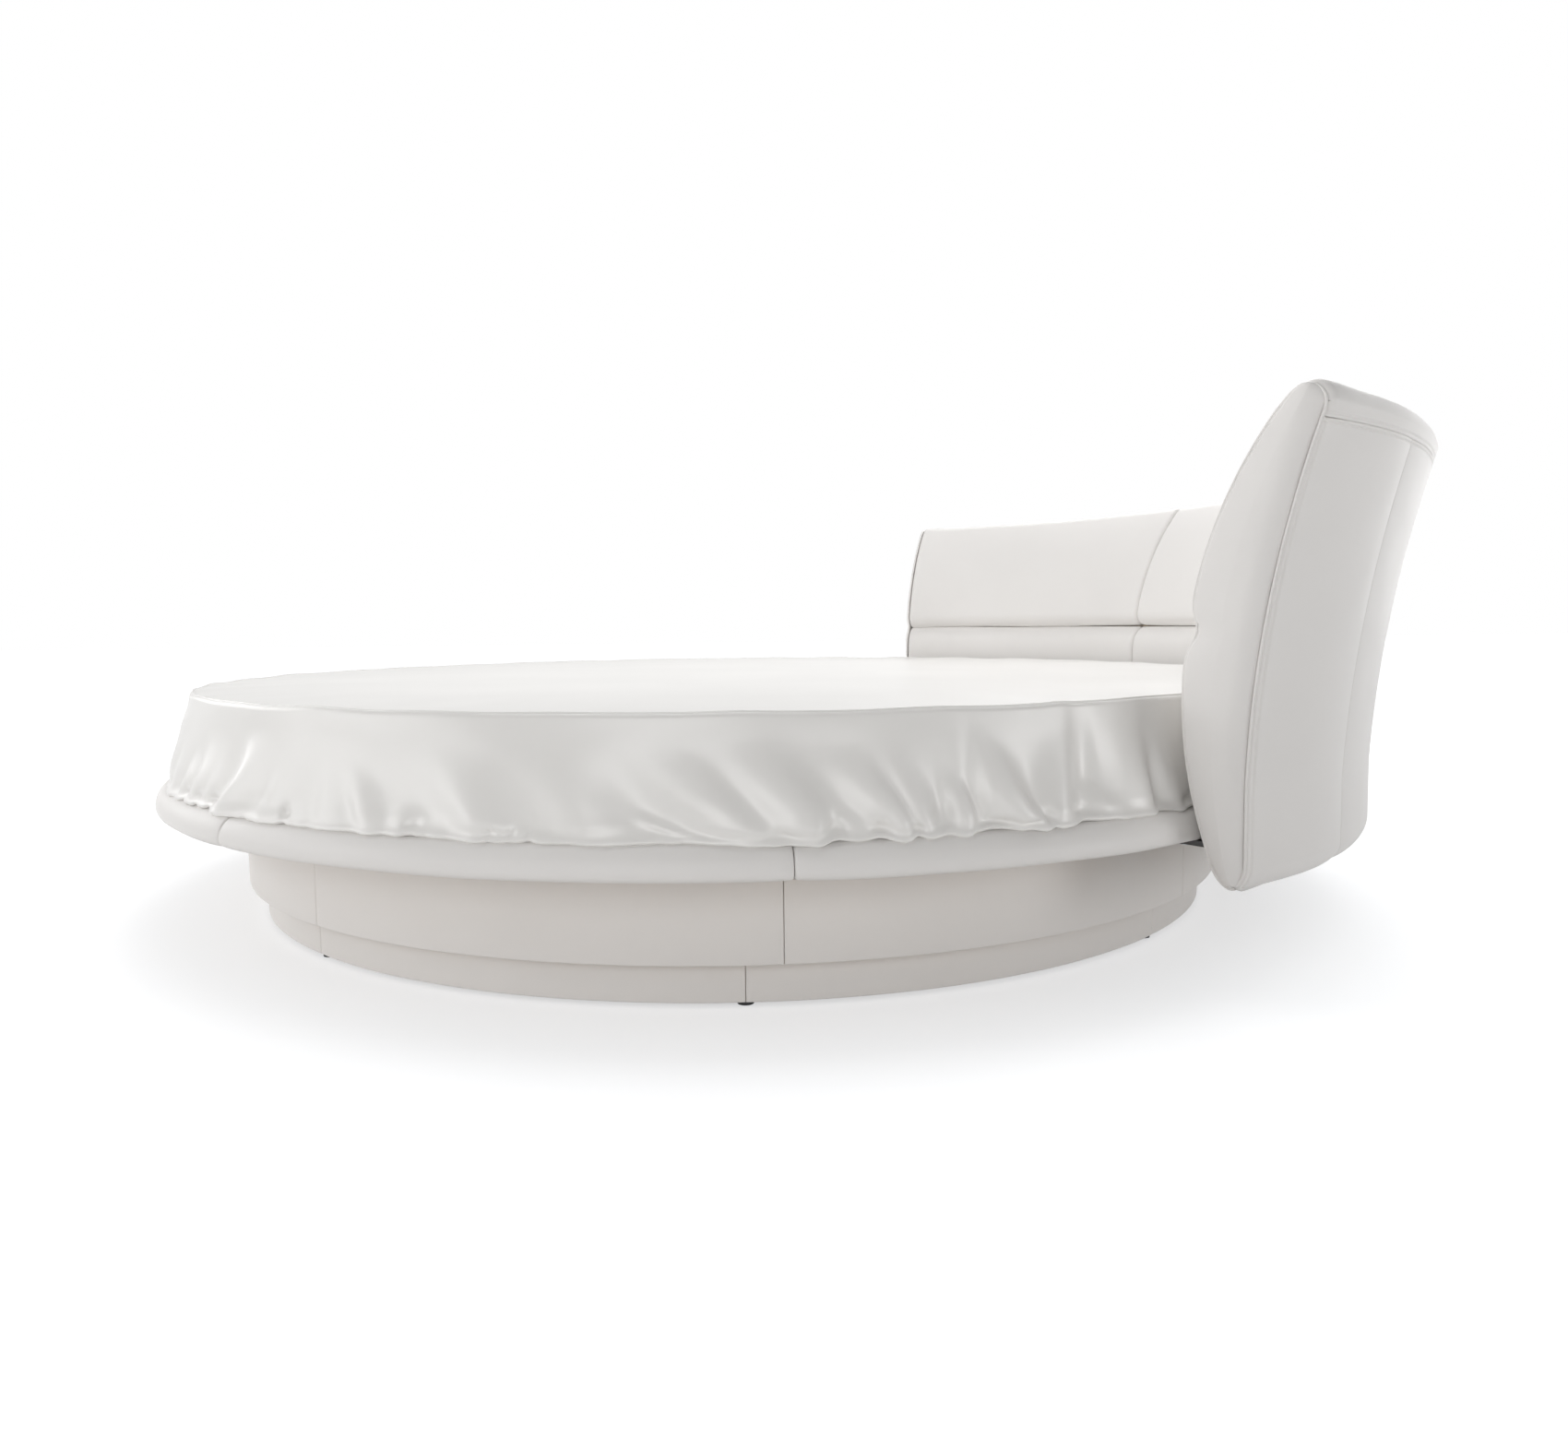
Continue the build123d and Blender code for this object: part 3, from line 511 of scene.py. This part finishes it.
# Each fold is a ridge: the angles of its crest at five heights from the foot up, how high it reaches as a
# share of the side, how far it stands out in mm, and its half widths before and after the crest in degrees.
crest_heights = (0.0, 0.15, 0.3, 0.5, 0.7)
seen_folds = (
    (-66, -65, -64.2, -63.8, -63.6, 0.7, 6, 1.8, 1.6), (-60.6, -59.9, -59.4, -59, -58.8, 0.8, 6, 1.8, 1.6),
    (-56.6, -56.2, -55.8, -55.4, -55.2, 0.6, 7, 0.8, 1.2), (-53.2, -52.6, -52.2, -52, -52, 0.75, 8, 1, 1.4),
    (-50.2, -49.6, -49.2, -49.3, -49.5, 0.8, 5, 1, 1),
    (-46.9, -45.2, -44.1, -43.5, -43.3, 0.85, 14, 1.2, 2.6),
    (-40.3, -39.4, -38.7, -38.4, -38.3, 0.85, 10, 1.6, 1.9),
    (-36.6, -36.4, -36.2, -36, -35.8, 0.3, 5, 0.6, 1.1),
    (-33.2, -33.3, -33.4, -33.5, -33.6, 0.85, 6, 1.3, 1.3),
    (-29, -29.8, -30.6, -31.6, -32.4, 0.75, 7, 1, 0.6),
    (-26.6, -26.4, -26.2, -26, -26, 0.3, 4, 1, 0.7), (-19.9, -20.5, -21.3, -22.4, -23.2, 0.8, 10, 1.9, 1.6),
    (-15.4, -19.6, -21.5, -22.6, -23.2, 0.45, 6, 0.9, 0.8),
    (-11.9, -12.5, -13.2, -14, -14.4, 0.95, 9, 2.3, 1.6),
    (-4.5, -8.6, -10.4, -11.4, -12, 0.35, 5, 0.8, 0.6), (-1.2, -3, -4.4, -5.8, -6.9, 0.85, 14, 2.6, 1.1),
    (1.9, 1.4, 0.7, -0.5, -1.6, 0.9, 16, 2.5, 1), (4.7, 4.2, 3.4, 2.4, 1.8, 0.4, 6, 1.1, 0.6),
    (7.5, 7.2, 6.5, 5.5, 5, 0.8, 14, 1.7, 0.5), (9.6, 9.1, 8.5, 7.9, 7.3, 0.85, 11, 0.8, 0.7),
    (12, 12.3, 12.1, 11.5, 10.9, 0.6, 10, 1, 0.2), (17.9, 16.4, 15.6, 14.9, 14.3, 0.9, 15, 1.8, 0.5),
    (19.7, 19.8, 20, 20.3, 20.5, 1, 11, 1.1, 0.6), (25.2, 23.8, 22.6, 21.6, 21, 0.4, 5, 1.2, 0.8),
    (25.9, 26, 26.1, 26.2, 26.4, 0.9, 4, 1.4, 0.9), (27.7, 27.9, 28.1, 28.4, 28.6, 0.85, 8, 1.3, 0.5),
    (31.6, 31.4, 31.2, 31, 30.9, 0.9, 8, 1, 1.2),
)
random = np.random.default_rng(7)
feet = np.arange(35.5, 290.0, 3.9)
feet += random.uniform(-1.0, 1.0, len(feet))
leans = random.uniform(-4.5, 4.5, (len(feet), 1)) * (1 - np.exp(-np.array(crest_heights) / 0.3))
reaches, rises, befores, afters = (random.uniform(low, high, len(feet)) for low, high in (
    (0.4, 1.0), (6, 15), (0.7, 2.4), (0.6, 1.8)))
rises *= np.where(feet > 255, 0.5, 1)
unseen_folds = np.column_stack([feet[:, None] + leans, reaches, rises, befores, afters])
# Each hollow is a dent near the foot: its angle, its height as a share of the side, its half width in
# degrees, its half height as a share, its depth in mm, and how far the hem lifts off the rim there in mm.
hollows = (
    (-62.5, 0, 0.5, 0.08, 6, 2), (-55, 0, 0.5, 0.08, 8, 3), (-51.4, 0, 0.5, 0.09, 8, 4),
    (-48.6, 0, 0.8, 0.1, 12, 4), (-37.4, 0.02, 0.45, 0.1, 8, 3), (-25.4, 0.02, 0.6, 0.07, 7, 3),
    (-19.3, 0, 0.35, 0.05, 6, 2), (-17.8, 0.02, 0.3, 0.05, 5, 1), (-16.6, 0, 0.3, 0.04, 5, 2),
    (-0.6, 0, 1.2, 0.05, 6, 1), (2.9, 0.04, 0.8, 0.11, 13, 6), (6.2, 0.02, 0.6, 0.1, 12, 5),
    (8.6, 0, 0.5, 0.06, 8, 3), (10.6, 0.1, 0.7, 0.2, 7, 1), (14.4, 0, 1.2, 0.05, 9, 5),
    (17, 0, 0.6, 0.04, 7, 4), (18.5, 0.02, 0.5, 0.08, 8, 2), (13.1, 0.35, 0.7, 0.35, 6, 0),
    (21.8, 0.02, 0.9, 0.1, 9, 3), (22.6, 0.45, 1.1, 0.45, 7, 0), (29.4, 0.2, 0.9, 0.4, 9, 2),
    *((degrees, 0.02, random.uniform(0.4, 1.1), random.uniform(0.05, 0.12), random.uniform(6, 12),
       random.uniform(2, 6)) for degrees in np.arange(33, 290, 5.3)),
)


def rim_height(radius):
    """The height of the rim's leather at a distance from the axis."""
    beyond = np.clip(radius - nose_centre[0], 0, 0.95 * nose_round)
    return nose_centre[1] + np.sqrt(nose_round ** 2 - beyond ** 2)


def eased(share):
    """A smooth step from 0 to 1, three squares less two cubes of the share."""
    share = np.clip(share, 0, 1)
    return share * share * (3 - 2 * share)


# The side's line, from the cord down: its slope and bend are against the drop from the top and its square,
# and it flares at the foot. There it curls in, lies on the rim as far as its edge, and turns down behind it.
side_top, side_foot, foot_radius, curl_round = 0.4255, 0.2672, 1.1515, 0.0036
side_radius, side_slope, side_bend, flare_reach = 1.1055, 0.1544, 0.2886, 0.02
hem_radius, hem_gap = 1.1095, 0.0006
cord = arc((1.0986, 0.4334), 0.0016, 180, -30, 8)
shoulder = arc((1.0965, side_top - 0.001), 0.009, 56, 6, 6)
side = np.linspace(side_top - 0.003, side_foot, 39)
drop = side_top - side
flare = foot_radius - side_radius - side_slope * drop[-1] - side_bend * drop[-1] ** 2
side_line = np.stack([side_radius + side_slope * drop + side_bend * drop ** 2
                      + flare * np.exp(-(side - side_foot) / flare_reach), side], -1)
curl = arc((foot_radius - curl_round, side_foot), curl_round, -15, -90, 6)
inward_radius = np.linspace(curl[-1, 0] - 0.005, hem_radius, 6)
inward = np.stack([inward_radius, rim_height(inward_radius) + hem_gap], -1)
hung = len(cord) + len(shoulder) + len(side)
side_line = np.vstack([cord, shoulder, side_line, curl, inward, ((1.1046, 0.2655), (1.1028, 0.258))])
rows, columns = len(side_line), 1500
turns = np.linspace(90, 450, columns + 1)[:-1]
height_share = np.clip((side_line[:, 1] - side_foot) / (side_top - side_foot), 0, 1)[:, None]
held_in = np.clip((side_line[:, :1] - hem_radius) / 0.03, 0, 1)
free = np.where(np.arange(rows)[:, None] < hung, 1.0, held_in)

# The folds are added by this power of their rises, so that where two meet the higher one counts most. A
# fold that is steeper after its crest than before it also slides the cloth along over its own hollow.
pile_power, fold_gain, slide_share = 2.5, 1.6, 0.3
wider_before, wider_after, least_after = 1.15, 1.35, 0.5
pile, slide = np.zeros((rows, columns)), np.zeros((rows, columns))
for fold in (*seen_folds, *unseen_folds):
    path = np.polynomial.Polynomial.fit(crest_heights, fold[:5], 3)
    reach, rise, before, after = fold[5:]
    before, after = before * wider_before, least_after + after * wider_after
    apart = angle_from(turns, path(np.clip(height_share, 0, 0.8)))
    widen = 1 + 0.5 * height_share
    ridge = np.exp(-np.abs(apart / (np.where(apart < 0, before, after) * widen)) ** 2)
    amount = fold_gain * rise / 1000 * ridge * eased((reach - height_share) / (0.75 * reach))
    pile += amount ** pile_power
    slide += slide_share * (before > after) * amount * np.exp(-((apart - 0.5 * after) / after) ** 2)
pile = pile ** (1 / pile_power)
turn = np.radians(turns)
puckers = sum(random.uniform(0.2, 0.6) * np.sin(
    turn * count + 2.5 * np.sin(turn * random.integers(3, 9)) + random.uniform(0, 6))
    for count in random.integers(60, 260, 8)) * 0.0006 * np.exp(-height_share / 0.12)
sway = sum(random.uniform(0.0003, 0.0010) * np.sin(
    turn * random.integers(9, 46) + height_share * random.uniform(-4, 4) + random.uniform(0, 6))
    for wave in range(7)) * eased(height_share * 5) * eased((1 - height_share) * 4)
dent, lift = np.zeros((rows, columns)), np.zeros((rows, columns))
for degrees, middle, half_width, half_height, deep, rise in hollows:
    across = np.exp(-np.abs(angle_from(turns, degrees) / half_width) ** 2.5)
    upward = np.exp(-((height_share - middle - 0.04) / half_height) ** 2)
    dent = np.maximum(dent, deep / 1000 * across * upward)
    lift = np.maximum(lift, rise / 2000 * across * np.exp(-height_share / 0.1))
dent *= 0.35 + 0.65 * eased(height_share / 0.07)
foot_ease = 0.4 + 0.6 * eased(height_share / 0.16)

# Round to the side away from the headboard's end the cloth hangs fuller, and its foot lies further in.
drawn_back = 0.006                 # how far the side stands in from its line between the folds
beyond = angle_from(turns, 0)
away_from_end = eased((beyond + 170) / 20)
fuller = 0.006 * eased((-52 - beyond) / 14) * away_from_end
further_in = 0.024 * eased((-60 - beyond) / 14) * away_from_end * (1 - eased(height_share / 0.6))
hang = fuller * eased(height_share / 0.3) * eased((0.97 - height_share) / 0.3) - further_in
out = (pile * foot_ease - (drawn_back - fuller) * eased((0.95 - height_share) / 0.6) + hang + puckers + sway
       - dent) * free
out[:len(cord) + 2] = 0
least_radius = 1.1035              # so that no hollow reaches into the mattress
radius = np.maximum(side_line[:, :1] + out, np.where(height_share > 0.9, 0, least_radius))
on_rim = (rim_height(radius) - rim_height(side_line[:, :1])) * eased(1 - height_share / 0.4) * free
height = side_line[:, 1:] + lift * free + on_rim - seam_drop(turns) * eased(height_share * 1.5 - 0.5)
map_radius = 1.12                  # the cloth's own map and the slides are measured round at this radius
skirt = skin("sheet_side", polar(radius, turns + np.degrees(slide * free / map_radius), height))
lay_map(skirt, turn * map_radius, np.broadcast_to(side_line[:, 1:], (rows, columns)))
dress(skirt, satin, "satin", "mattress")

# Headboard core: bent plywood and foam blocks behind the cushions, carried on four steel brackets with a
# dark grey powder coat.
finish_nodes(("headboard_core",), birch_ply)
bracket_steel = grained("bracket_steel", 0.5, 0.5, (500.0, 2.0), (0.055, 0.055, 0.056),
                        (0.075, 0.075, 0.076), 0.0002, 0.6)[0]
finish_nodes(("headboard_brackets",), bracket_steel)


# Headboard cushions: leather over foam, three above and three below. The upper ones wrap over the top.
# They meet in a tuck that runs along the front, and their ends are rounded and drawn in at the seams.
def heading(start, end):
    return np.arctan2(end[1] - start[1], end[0] - start[0])


def turned_arc(start, direction, end, count):
    """Points on the arc that leaves a point in a direction and ends at another. From its start, each chord
    has turned by half of what the arc has, and its length goes as the sine of that."""
    chord = end - start
    half = (heading(start, end) - direction + np.pi) % (2 * np.pi) - np.pi
    share = np.linspace(0, 1, count)
    length = np.linalg.norm(chord) * np.sin(share * half) / np.sin(half)
    return start + np.stack([length * np.cos(direction + share * half),
                             length * np.sin(direction + share * half)], -1), direction + 2 * half


def arc_through(first, middle, last, count):
    """Points on the arc through three points, and its directions at both ends. The direction at the first is
    the sum of its chords' directions less that of the chord between the other two."""
    lean = heading(first, middle) + heading(first, last) - heading(middle, last)
    points, end_lean = turned_arc(first, lean, last, count)
    return points, lean, end_lean


def section_point(depth_share, rise_share, swell=0.0):
    """A point of the headboard's section, from its shares of the depth and the rise."""
    return np.array((headboard_inner + depth_share * headboard_depth + swell,
                     headboard_foot + rise_share * headboard_rise))


def back_line(swell):
    """The back of the section: the nose over the top, the strip above the back's seam, and the rest down to
    the bottom, with its points close together where the seam is pressed in."""
    top = section_point(1.0, 0.956, swell * 0.4)
    bend = arc_through(top, section_point(0.652, 0.584, swell), section_point(0.52, 0.199, swell), 120)[0]
    foot = section_point(0.5245, 0.054, swell)
    curl = turned_arc(foot, heading(bend[-1], foot), bottom, 12)[0]
    nose = turned_arc(upper_arc[-1], upper_end, top, 20)[0]
    seam = section_point(0.0, 0.927)[1]
    seam_half, near_seam = 0.0001, 0.0145
    above = np.linspace(top[1], seam + seam_half, 18)
    near = np.linspace(seam_half, near_seam, 19)
    below = seam - np.concatenate([near, np.linspace(near_seam, seam - bend[-1, 1], 34)[1:]])
    above_line, below_line = (np.stack([np.interp(heights, bend[::-1, 1], bend[::-1, 0]), heights], -1)
                              for heights in (above, below))
    return nose, above_line, np.concatenate([below_line, np.linspace(bend[-1], foot, 8)[1:-1], curl])


def normals(points):
    """The normal on the left of a line of points, as it goes from the first to the last."""
    along = np.gradient(points, axis=0)
    side = np.stack([-along[:, 1], along[:, 0]], -1)
    return side / np.linalg.norm(side, axis=1)[:, None]


def padding_inside(points):
    """The hidden line under a cushion's shown one. It lies deep under the front, and close under the rest."""
    side = normals(points)
    return points + side * (leather_depth + foam_depth * np.maximum(side[:, :1], 0))


def swell_share(degrees):
    """How much of the back's swell is left at an angle: it dies away in a quarter sine over 11 degrees."""
    inside = np.clip(np.minimum(degrees - first_end, last_end - degrees) / 11.0, 0, 1)
    return 0.08 + 0.92 * np.sin(inside * np.pi / 2)


def steps_along(line):
    """How far along a line each of its points lies."""
    return np.concatenate([[0], np.cumsum(np.linalg.norm(np.diff(line, axis=0), axis=1))])


def cushion(name, node, full, flat, hidden, ends, edges, seed, sewn=0, ripple_depth=1.0, bands=(0, 0),
            plump=(0, 0)):
    """A cushion carried round the axis from seam to seam. Its shown line lies between a flat and a full one.
    It falls away in a quarter circle at each seam, is drawn in a little near it, and has soft ripples. A
    line end that is sewn, the first or the last, falls away too, with a second line pressed in beside it. A
    band at an end is a strip that a groove parts from the rest. Plump is how far each end swells out. It
    returns the places along, the shown surface and its normals."""
    start, end = ends
    column_step, drawn_in, draw_reach, plump_reach = 0.012, 0.003, 0.03, 0.06
    sewn_round, sewn_groove, groove_from_edge, groove_half_width = 0.0008, 0.0022, 0.0052, 0.0011
    band_groove, band_half_width = 0.0028, 0.0018
    reach = np.radians(end - start) * headboard_inner
    grooves = [place for place, asked in zip((band_width, reach - band_width), bands) if asked]
    along = spaced(cushion_gap, reach - cushion_gap, max(edges), column_step, 9)
    along = np.unique(np.concatenate([along, *(place + np.linspace(-0.003, 0.003, 9) for place in grooves)]))
    degrees = start + np.degrees(along / headboard_inner)
    shown = flat + swell_share(degrees)[:, None, None] * (full - flat)
    side = normals(full)
    from_start, from_end = along[:, None] - cushion_gap, reach - along[:, None] - cushion_gap
    step = steps_along(full)
    from_sewn = {0: step + 1, 1: step, -1: step[-1] - step}[sewn][None, :]
    fall = np.maximum(np.maximum(rounding(from_start, edges[0]), rounding(from_end, edges[1])),
                      rounding(from_sewn, sewn_round))
    ripple = soft_waves(seed, 6, (0.0002, 0.0006), (along[:, None], (3, 18)), (step, (-9, 9)))
    fall += drawn_in * np.exp(-np.minimum(from_start, from_end) / draw_reach) + ripple * ripple_depth
    for swollen, distance in zip(plump, (from_start, from_end)):
        fall -= (swollen + drawn_in * (swollen > 0)) * np.exp(-(distance / plump_reach) ** 2)
    fall += 0.0006 * np.exp(-from_sewn / 0.01)
    fall += sewn_groove * np.exp(-((from_sewn - groove_from_edge) / groove_half_width) ** 2)
    for place in grooves:
        fall += band_groove * np.exp(-((along[:, None] - place) / band_half_width) ** 2)
    degrees = degrees[:, None]
    moved = shown + side * fall[..., None]
    surface, facing = polar(moved[..., 0], degrees, moved[..., 1]), polar(side[:, 0], degrees, side[:, 1])
    behind = polar(hidden[::-1, 0], degrees, hidden[::-1, 1])
    piece = skin(name, np.concatenate([surface, behind], 1), ends=True)
    dress(piece, leather, "leather", "bed", node)
    return along, surface, facing


headboard_inner, headboard_foot = 1.150, 0.163
headboard_depth, headboard_rise = 0.204, 0.687
leather_depth, foam_depth = 0.0097, 0.0315
cushion_gap, band_width = 0.0006, 0.0068
tuck = section_point(0.175, 0.532)
bottom = section_point(0.451, 0.0)
lower_arc, lower_start, lower_end = arc_through(
    section_point(0.275, 0.0335), section_point(0.044, 0.2475), section_point(0.005, 0.461), 36)
upper_arc, upper_start, upper_end = arc_through(
    section_point(0.069, 0.589), section_point(0.314, 0.799), section_point(0.735, 0.983), 40)
foot_arc = turned_arc(lower_arc[0], lower_start + np.pi, bottom, 12)[0]
lower_lip = turned_arc(lower_arc[-1], lower_end, tuck, 12)[0]
upper_lip = turned_arc(upper_arc[0], upper_start + np.pi, tuck, 12)[0]
full_nose, full_top, full_back = back_line(0.022)
flat_nose, flat_top, flat_back = back_line(0.0)
lower_face = np.vstack([lower_arc[:0:-1], foot_arc])
lower_shown = np.vstack([lower_lip[:0:-1], lower_face])
lower_inside = padding_inside(lower_face)
upper_front = np.vstack([upper_arc[:0:-1], upper_lip])
upper_full = np.vstack([full_top[:0:-1], full_nose[:0:-1], upper_front])
upper_flat = np.vstack([flat_top[:0:-1], flat_nose[:0:-1], upper_front])
upper_inside = padding_inside(upper_flat[:len(upper_flat) - len(upper_lip) + 1])
under_tuck, over_tuck = tuck[1] - 0.0002, tuck[1] + 0.0002
lower_shown[0, 1], upper_full[-1, 1], upper_flat[-1, 1] = under_tuck, over_tuck, over_tuck
lower_hidden = np.vstack([
    np.linspace((lower_inside[0, 0], under_tuck), lower_inside[0], len(lower_lip))[:-1], lower_inside])
upper_hidden = np.vstack([
    upper_inside, np.linspace(upper_inside[-1], (upper_inside[-1, 0], over_tuck), len(upper_lip))[1:]])
half_angle, end_panel_angle, seam_angle = 59.25, 0.448, 19.5
first_end, last_end = 90 - half_angle + end_panel_angle, 90 + half_angle - end_panel_angle
cushion_seams = (first_end, 90 - seam_angle, 90 + seam_angle, last_end)
for number in range(3):
    ends, outer = cushion_seams[number:number + 2], (number == 0, number == 2)
    edges = [0.009 if is_outer else 0.011 for is_outer in outer]
    for row, full, flat, hidden, seed, sewn, swollen in (
            ("upper", upper_full, upper_flat, upper_hidden, 400, 1, 0.003),
            ("lower", lower_shown, lower_shown, lower_hidden, 420, 0, 0.0015)):
        cushion(f"{row}_cushion_{number + 1}", f"headboard_{row}_cushion_{number + 1}", full, flat, hidden,
                ends, edges, seed + number, sewn, plump=[swollen * is_outer for is_outer in outer])


# Headboard back: five leather panels over thin foam, sewn edge to edge and closed under the foot. The outer
# ones have a stitched band along the end panels.
def points_at(places, step, values):
    """The values at places along a line, from those at its points, which lie at the steps."""
    return np.stack([np.interp(places, step, column) for column in values.T], -1)


def stitch_row(name, line, facing):
    """A row of stitches along a line, as one piece. Each is a half ring of thread in four steps, which rises
    from the leather and dips back in."""
    length, spacing, half_thick, rise, sunk = 0.005, 0.007, 0.0006, 0.0010, 0.0003
    step = steps_along(line)
    share = np.linspace(0, 1, 5)
    places = np.arange(0.004, step[-1] - 0.009, spacing)[:, None] + length * share
    centre, normal = points_at(places, step, line), points_at(places, step, facing)
    normal /= np.linalg.norm(normal, axis=-1, keepdims=True)
    ahead = centre[:, -1:] - centre[:, :1]
    across = np.cross(normal, ahead / np.linalg.norm(ahead, axis=-1, keepdims=True))
    lift = rise * np.sin(np.pi * share) - sunk
    thick = half_thick * (0.6 + 0.4 * np.sin(np.pi * share))
    turn = np.linspace(0, 2 * np.pi, 7)[:-1]
    ring = (centre + normal * lift[:, None])[:, :, None] + thick[:, None, None] * (
        across[:, :, None] * np.cos(turn)[:, None] + normal[:, :, None] * np.sin(turn)[:, None])
    index = np.arange(ring.size // 3).reshape(ring.shape[:3])
    nearby = np.roll(index, -1, axis=2)
    faces = np.stack([index[:, :-1], nearby[:, :-1], nearby[:, 1:], index[:, 1:]], -1).reshape(-1, 4).tolist()
    faces += np.concatenate([index[:, 0, ::-1], index[:, -1]]).tolist()
    dress(new_piece(name, ring.reshape(-1, 3), faces, len(faces)), leather, "leather", "bed")


back_seams = (first_end, *(90 + half_angle * share for share in (-0.783, -0.261, 0.261, 0.783)), last_end)
back_hidden = (flat_back - normals(flat_back) * leather_depth)[::-1]
for number in range(5):
    outer = (number == 0, number == 4)
    edges = [0.004 if is_outer else 0.003 for is_outer in outer]
    along, surface, facing = cushion(
        f"back_leather_{number + 1}", f"headboard_back_{number + 1}", full_back[::-1], flat_back[::-1],
        back_hidden, back_seams[number:number + 2], edges, 440 + number, sewn=-1, ripple_depth=0.7,
        bands=outer)
    for is_outer, place in zip(outer, (band_width, along[-1] + cushion_gap - band_width)):
        if is_outer:
            at = np.argmin(np.abs(along - place))
            stitch_row(f"back_stitches_{number + 1}", surface[at, 3:-3], facing[at, 3:-3])


# End panels: a crowned leaf of leather over foam on each end of the headboard. It reaches the cushions' edge
# at the front and rolls in softly towards the back, and a flat corded welt runs round it.
def off_end(points, plane, side, rise):
    """Points of the section carried out from an end's plane, to one side, by a rise."""
    turn = np.radians(plane)
    outwards = np.array((np.sin(turn), -np.cos(turn), 0)) * side
    return polar(points[..., 0], plane, points[..., 1]) + rise[..., None] * outwards


def end_panel(name, node, plane, side, seed):
    """Rows go up the leaf and columns across it, from the front line to the back line. Its height off the
    plane is a crown, less a small round and a groove at the front edge and a wide roll at the back."""
    rows, columns = 120, 112
    front_inset, back_inset = 0.0035, 0.0088
    base, crown_high, crown_reach = 0.008, 0.0075, 0.03
    front_round, back_round, roll_high, roll_reach = 0.006, 0.0025, 0.0085, 0.032
    groove, groove_from_front, groove_half_width = 0.0013, 0.0042, 0.0011
    back = np.vstack([flat_back[::-1], flat_top[::-1], flat_nose[::-1][1:10], end_front[-1:]])
    up = (1 - np.cos(np.linspace(0, np.pi, rows))) / 2
    front, back = (points_at(up * step[-1], step, line)
                   for line, step in ((line, steps_along(line)) for line in (end_front, back)))
    inset = (front_inset + back_inset) / 2
    leaning = (back - front) / np.maximum(np.linalg.norm(back - front, axis=1), 0.0001)[:, None]
    middle, half = (front + back) / 2 + leaning * (front_inset - back_inset) / 2, (back - front) / 2
    half_width = np.linalg.norm(half, axis=1)
    shrink = np.maximum(half_width - inset, 0) / np.maximum(half_width, 0.0001)
    middle[:, 1] += inset * np.where(up < 0.5, 1, -1) * (1 - shrink)
    half = half * shrink[:, None]
    half_width = half_width * shrink
    across = np.sin(np.linspace(-np.pi / 2, np.pi / 2, columns))
    from_front = (1 + across) * half_width[:, None]
    from_back = (1 - across) * half_width[:, None]
    up = up[:, None]
    crown = 1 - np.exp(-np.minimum(from_front, from_back) / crown_reach)
    rise = base + crown_high * crown * (1.15 - 0.4 * up)
    rise -= rounding(from_front, front_round) + rounding(from_back, back_round)
    rise -= 0.75 * roll_high * np.clip(1 - from_back / roll_reach, 0, 1) ** 2
    rise -= groove * np.exp(-((from_front - groove_from_front) / groove_half_width) ** 2)
    rise += soft_waves(seed, 5, (0.0001, 0.0003), (up, (8, 30)), (across, (-3, 3)))
    rise = np.maximum(rise, 0.0008)
    points = middle[:, None] + across[None, :, None] * half[:, None]
    shown = off_end(points, plane, side, rise)
    hidden = off_end(points[:, ::-1], plane, side, np.full(rise.shape, 0.0003))
    piece = skin(name, np.concatenate([shown, hidden], 1), poles=True)
    dress(piece, leather, "leather", "bed", node)


def end_welt(name, plane, side):
    """A cord in the seam round an end panel: an ellipse carried along the section's outline, drawn in a
    little. Along the back it is flatter and lower."""
    outline = np.vstack([end_front, flat_nose[11:], flat_top[1:], flat_back[1:]])
    step = steps_along(outline)
    places = np.linspace(0, step[-1], 421)
    outline = points_at(places, step, outline)
    outline[-1] = outline[0]
    averaged = 9
    smooth = np.stack([np.convolve(np.concatenate([column[-5:-1], column[:-1], column[:4]]),
                                   np.full(averaged, 1 / averaged), "valid") for column in outline.T], -1)
    outline = np.vstack([smooth, smooth[:1]])
    inward = -normals(outline)
    inward[0] = inward[-1] = -normals(np.concatenate([outline[-3:-1], outline[:3]]))[2]
    behind = np.clip((places[:, None] / step[-1] - 0.48) / 0.04, 0, 1)
    half_width, half_height = 0.0020 + 0.0001 * behind, 0.0022 - 0.0006 * behind
    centre = outline + inward * (0.002 + 0.0028 * behind)
    around = np.linspace(0, 2 * np.pi, 13)[:-1]
    in_plane = centre[:, None] + (half_width * np.cos(around))[..., None] * inward[:, None]
    rise = 0.0022 - 0.0014 * behind + half_height * np.sin(around)
    dress(skin(name, off_end(in_plane, plane, side, rise), poles=True), leather, "leather", "bed")


notch = np.vstack([lower_lip[1:], upper_lip[::-1][1:-1]])
notch = notch[notch[:, 0] < tuck[0] - 0.013]
end_front = np.vstack([foot_arc[:0:-1], lower_arc, notch, upper_arc, flat_nose[1:11]])
heights = end_front[:, 1:]
swell_here = 0.0015 + 0.002 * (eased((heights - 0.54) / 0.05) + eased((0.24 - heights) / 0.05))
end_front = end_front + normals(end_front) * swell_here
ends = (("right", first_end, 1, 460), ("left", last_end, -1, 461))
for hand, plane, side, seed in ends:
    end_panel(f"end_leather_{hand}", f"headboard_end_{hand}", plane, side, seed)
for hand, plane, side, seed in ends:
    end_welt(f"end_welt_{hand}", plane, side)
